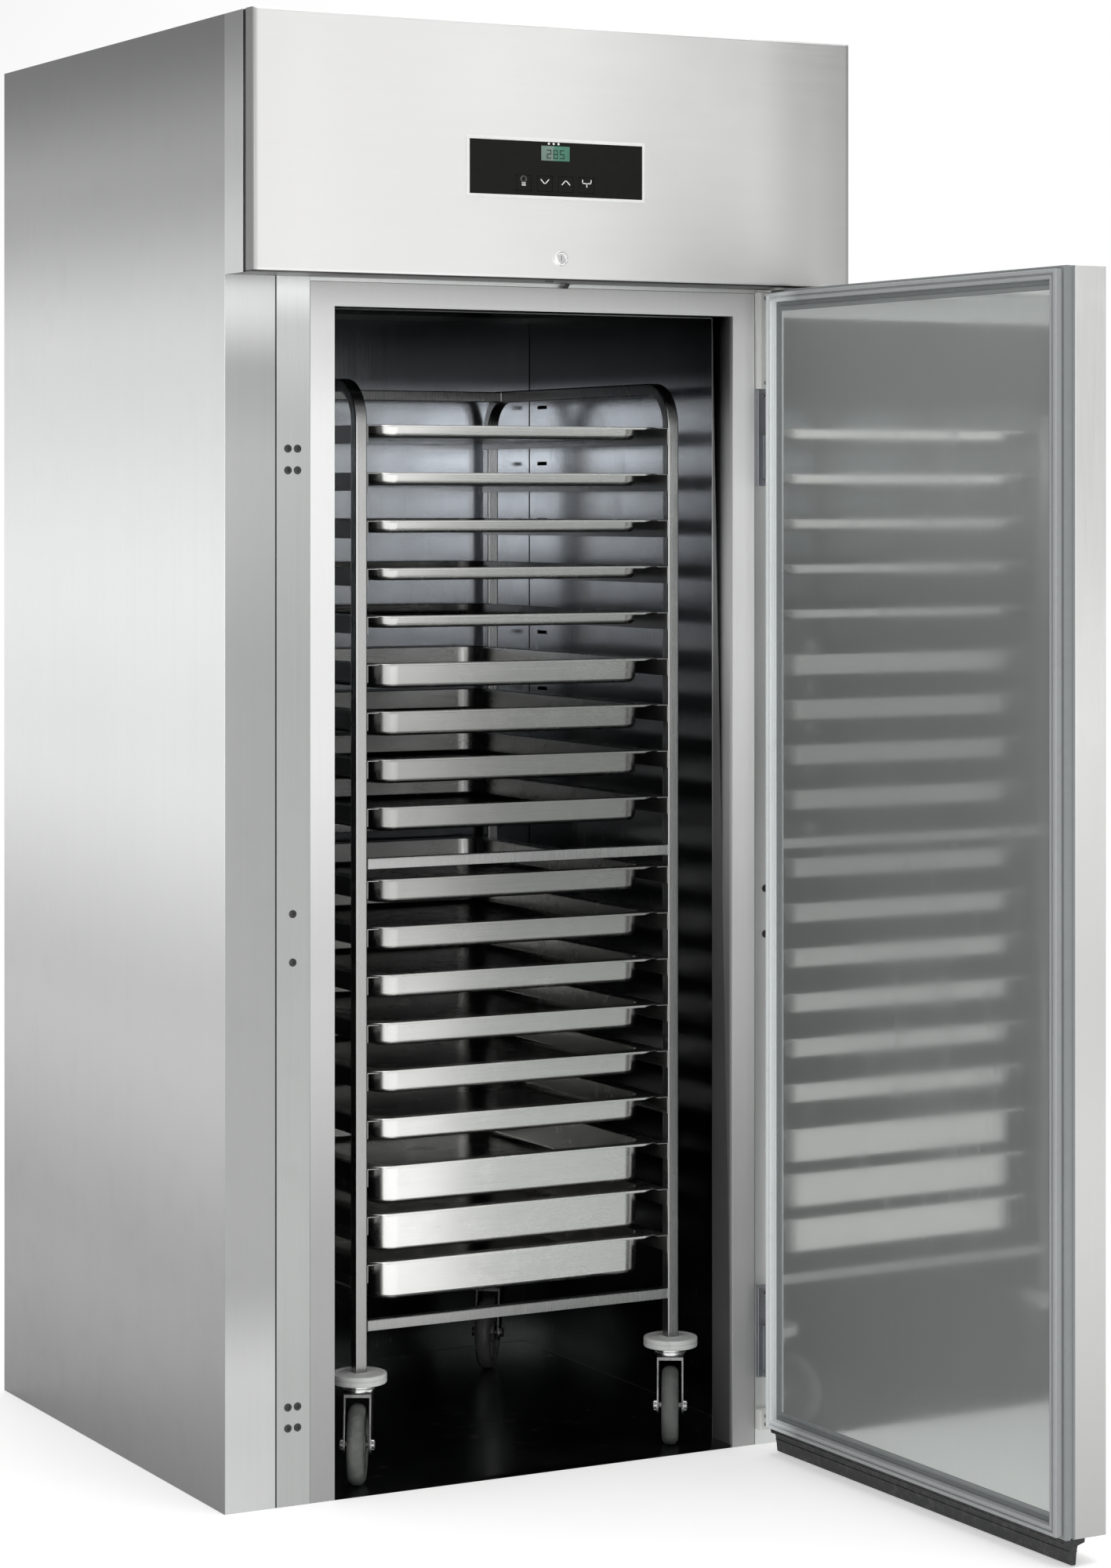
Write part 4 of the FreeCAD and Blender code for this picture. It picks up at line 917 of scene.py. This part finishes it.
def pressed_pan(width, length, depth):
    """Pan with a flat rim, turned down at front and back, drawn walls and a slightly crowned floor."""
    half_x, half_y, corner, wall_corner = width / 2, length / 2, 36 * mm, 40 * mm
    rim, draft, heel = 21 * mm, 5 * mm, 9 * mm
    curl_full, curl_none = half_x - corner, half_x - 18 * mm

    def curl(deep):
        def z(x, y):
            if abs(y) < half_y - corner:
                return -pan_sheet
            share = min(1.0, max(0.0, (curl_none - abs(x)) / (curl_none - curl_full)))
            return -pan_sheet - deep * share
        return z

    def ring(inset, z):
        radius = corner - inset if inset < rim - 2 * mm else wall_corner - (inset - rim)
        return pan_ring(half_x - inset, half_y - inset, max(radius, 12 * mm), z)

    wall = [(rim + 1.6 * mm, -0.5 * mm), (rim + 2.2 * mm, -2.2 * mm),
            (rim + draft * 0.8, -(depth - heel))]
    foot = []
    for k in range(1, 6):
        angle = math.pi / 2 * k / 5
        foot.append((rim + draft + heel * 0.9 * (1 - math.cos(angle)),
                     -(depth - heel) - (heel - pan_sheet) * math.sin(angle)))
    floor_points = [(rim + draft + 40 * mm, -depth + pan_sheet + 0.5 * mm),
                    (0.2, -depth + pan_sheet + 1.4 * mm)]
    upper = [(0.0, curl(2.4 * mm)), (0.0, curl(0.3 * mm)), (0.25 * mm, -0.35 * mm), (0.9 * mm, 0.0),
             (rim - 1.4 * mm, 0.0), (rim, -0.05 * mm)] + wall + foot + floor_points
    under = []
    for inset, z in reversed(wall + foot + floor_points):
        under.append((inset - pan_sheet * (0.95 if z > -(depth - heel) - 4 * mm else 0.35), z - pan_sheet))
    under += [(rim - 1.2 * mm, -pan_sheet), (1.6 * mm, -pan_sheet), (0.95 * mm, curl(0.3 * mm)),
              (0.9 * mm, curl(2.9 * mm)), (0.45 * mm, curl(3.1 * mm))]
    split = len(upper)
    rings = [ring(inset, z) for inset, z in upper + under]
    count = len(rings[0])
    verts, faces = loft(rings, loop=True)
    first, last = (split - 1) * count, split * count
    faces = [f for f in faces if not (first <= min(f) < last and max(f) >= last and min(f) >= first)]
    faces.append(tuple(first + i for i in range(count)))
    faces.append(tuple(last + i for i in range(count)))
    return verts, faces


for name in ("pans_deep", "pans_medium", "pans_shallow"):
    parts = []
    for low, high in islands(name):
        centre = (low + high) / 2
        pan = pressed_pan(high.x - low.x, high.y - low.y, high.z - low.z)
        parts.append(moved(pan, Matrix.Translation((centre.x, centre.y, high.z))))
    piece(name + "_pressed", "trolley", "pan_steel", joined(parts), [name])

# Bumper discs, castors

bumper_parts = []
for low, high in islands("bumpers"):
    r, h = (high.x - low.x) / 2, high.z - low.z
    profile = [(r * 0.3, 0), (r - 3 * mm, 0), (r - 0.9 * mm, 0.9 * mm), (r, 3 * mm), (r, h * 0.42),
               (r - 1.1 * mm, h * 0.5), (r, h * 0.58), (r, h - 3 * mm), (r - 0.9 * mm, h - 0.9 * mm),
               (r - 3 * mm, h), (r - 8 * mm, h), (r - 9 * mm, h - 1.2 * mm), (tube * 0.95, h - 1.2 * mm),
               (tube * 0.85, h), (r * 0.3, h)]
    place = Matrix.Translation(((low.x + high.x) / 2, (low.y + high.y) / 2, low.z))
    bumper_parts.append(moved(lathe(profile, 64), place))
piece("bumper_discs", "trolley", "bumper_grey", joined(bumper_parts), ["bumpers"])

wheel_slim = 0.84
wheel_profile = [
    (5.2, -16), (14.5, -16), (16, -15), (17, -8), (19.5, -5.4), (43.5, -5.4), (45.5, -7), (46.5, -13.5),
    (48.5, -15.4), (50.5, -16), (52, -15.2), (54.5, -15.6), (57.8, -13.6), (60.4, -10.4), (62.1, -6.2),
    (62.5, -2.2),
]
wheel_profile += [(r, -h) for r, h in reversed(wheel_profile)]
wheel_profile = [(r * mm, h * wheel_slim * mm) for r, h in wheel_profile]
rib_count = 6
half_fork = (37 / 2 + 3 + 6) * mm
race_profile = [(17, -12.6), (24.6, -12.6), (25.6, -11.4), (25.6, -8), (23.6, -6.6), (25, -5.2), (25, -1.6),
                (23.4, -0.3), (17, -0.3)]
washer_profile = [(11, 0), (11, 0.8), (10.4, 1.2), (6, 1.2)]


def hex_nut(radius, thick):
    """Six-sided nut or bolt head about +Z with a chamfered top."""
    rings = [[(r * math.cos(math.tau * i / 6), r * math.sin(math.tau * i / 6), h) for i in range(6)]
             for r, h in ((radius, 0.0), (radius, thick * 0.8), (radius * 0.88, thick))]
    return loft(rings)


for corner in ("front_left", "front_right", "rear_left", "rear_right"):
    swivel = joints["castor_swivel_" + corner]
    roll = joints["castor_roll_" + corner]
    hub = Vector(roll["pos_m"])
    axle = Vector(roll["axis"]).normalized()
    spin = facing(axle, hub)
    fork, wheel = "castor_fork_" + corner, "castor_wheel_" + corner
    fork_body, wheel_body = body_of[fork], body_of[wheel]
    eased(fork, 0.9 * mm)
    parts = [ring_lathe(wheel_profile, 72)]
    for k in range(rib_count):
        for side in (-1, 1):
            rib = block((18 * mm, -1.6 * mm, min(side * 5, side * 12) * mm),
                        (46 * mm, 1.6 * mm, max(side * 5, side * 12) * mm), 0.8 * mm)
            parts.append(moved(rib, Matrix.Rotation(math.tau * k / rib_count, 4, "Z")))
    piece(wheel + "_tyre", wheel_body, "wheel_grey", moved(joined(parts), spin), [wheel])
    top = Vector((swivel["pos_m"][0], swivel["pos_m"][1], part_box(fork)[1].z))
    race = ring_lathe(in_metres(race_profile), 64)
    piece(fork + "_race", fork_body, "lock_chrome", moved(race, Matrix.Translation(top)))
    bolts = []
    for side in (-1, 1):
        outward = axle * side
        bolts.append(moved(hex_nut(8.6 * mm, 5.2 * mm),
                           facing(outward, hub + outward * (half_fork - 5.6 * mm))))
        bolts.append(moved(lathe(in_metres(washer_profile), 32),
                           facing(outward, hub + outward * (half_fork - 6.3 * mm))))
    piece(fork + "_bolts", fork_body, "lock_chrome", joined(bolts))

# ---------------------------------------------------------------- floor, light and camera


def stage_material(name, colour, rough, glow):
    g = Graph(name)
    broad = g.noise(0.7, detail=3.0)
    tone = g.colour(colour, g.spread(broad, 0.985, 1.015))
    g.set(Base_Color=tone, Roughness=rough, Emission_Color=tone, Emission_Strength=glow)
    return g.material


floor_size = 60.0
floor = bpy.data.objects.new("studio_floor", bpy.data.meshes.new("studio_floor"))
floor_corners = [(sx * floor_size / 2, sy * floor_size / 2, 0)
                 for sx, sy in ((-1, -1), (1, -1), (1, 1), (-1, 1))]
floor.data.from_pydata(floor_corners, [], [(0, 1, 2, 3)])
floor.data.materials.append(stage_material("studio_floor", (0.93, 0.93, 0.927), 0.75, 0.33))
scene.collection.objects.link(floor)


def soft_light(name, place, target, width, height_, power):
    data = bpy.data.lights.new(name, "AREA")
    data.shape = "RECTANGLE"
    data.size, data.size_y = width, height_
    data.energy = power
    made = bpy.data.objects.new(name, data)
    scene.collection.objects.link(made)
    made.location = place
    made.rotation_euler = (Vector(target) - Vector(place)).to_track_quat("-Z", "Y").to_euler()
    return made


soft_light("front_softbox", (1.5, -6.6, 2.3), (-0.3, -0.5, 1.3), 2.2, 4.2, 24)
soft_light("door_softbox", (-0.9, -7.4, 1.9), (0.2, -0.5, 1.2), 2.0, 2.6, 50)
soft_light("corner_softbox", (-3.3, -6.9, 1.45), (0.1, 0.0, 1.4), 1.5, 1.1, 13)
soft_light("left_softbox", (-4.6, -3.4, 4.6), (0.0, -0.3, 1.0), 4.5, 4.5, 62)
soft_light("top_softbox", (0.6, -0.8, 6.0), (0.1, -0.3, 0.0), 5.0, 5.0, 143)


def studio_world():
    """Even pale studio, dimmer behind the camera's side and above the horizon at the back left."""
    world = bpy.data.worlds.new("studio")
    world.use_nodes = True
    tree = world.node_tree
    background = tree.nodes["Background"]
    place = tree.nodes.new("ShaderNodeTexCoord").outputs["Generated"]

    def ramp(value, start, stop, low, high):
        node = tree.nodes.new("ShaderNodeMapRange")
        node.interpolation_type = "SMOOTHSTEP"
        tree.links.new(value, node.inputs["Value"])
        for key, number in (("From Min", start), ("From Max", stop), ("To Min", low), ("To Max", high)):
            node.inputs[key].default_value = number
        return node.outputs["Result"]

    def towards(direction):
        node = tree.nodes.new("ShaderNodeVectorMath")
        node.operation = "DOT_PRODUCT"
        tree.links.new(place, node.inputs[0])
        node.inputs[1].default_value = direction
        return node.outputs["Value"]

    def join(kind, a, b):
        node = tree.nodes.new("ShaderNodeMath")
        node.operation = kind
        for socket, value in zip(node.inputs, (a, b)):
            if isinstance(value, bpy.types.NodeSocket):
                tree.links.new(value, socket)
            else:
                socket.default_value = value
        return node.outputs[0]

    base = ramp(towards((0, 1, 0)), -0.6, 0.4, 0.55, 1.0)
    high = ramp(towards((0, 0, 1)), 0.02, 0.22, 0.0, 1.0)
    left_back = ramp(towards((-0.5, 0.87, 0)), 0.55, 0.9, 0.0, 1.0)
    shade = join("MULTIPLY", join("MULTIPLY", high, left_back), 0.85)
    level = join("MULTIPLY", base, join("SUBTRACT", 1.0, shade))
    tree.links.new(level, background.inputs["Color"])
    background.inputs["Strength"].default_value = 1.0
    scene.world = world


studio_world()
scene.view_settings.view_transform = "Standard"

camera = bpy.data.objects.new("camera", bpy.data.cameras.new("camera"))
scene.collection.objects.link(camera)
camera.location = (-2.902, -5.945, 1.532)
camera.rotation_euler = (math.radians(90), 0, math.radians(-28.3))
camera.data.lens = 90.25
camera.data.shift_y = -0.180
scene.camera = camera
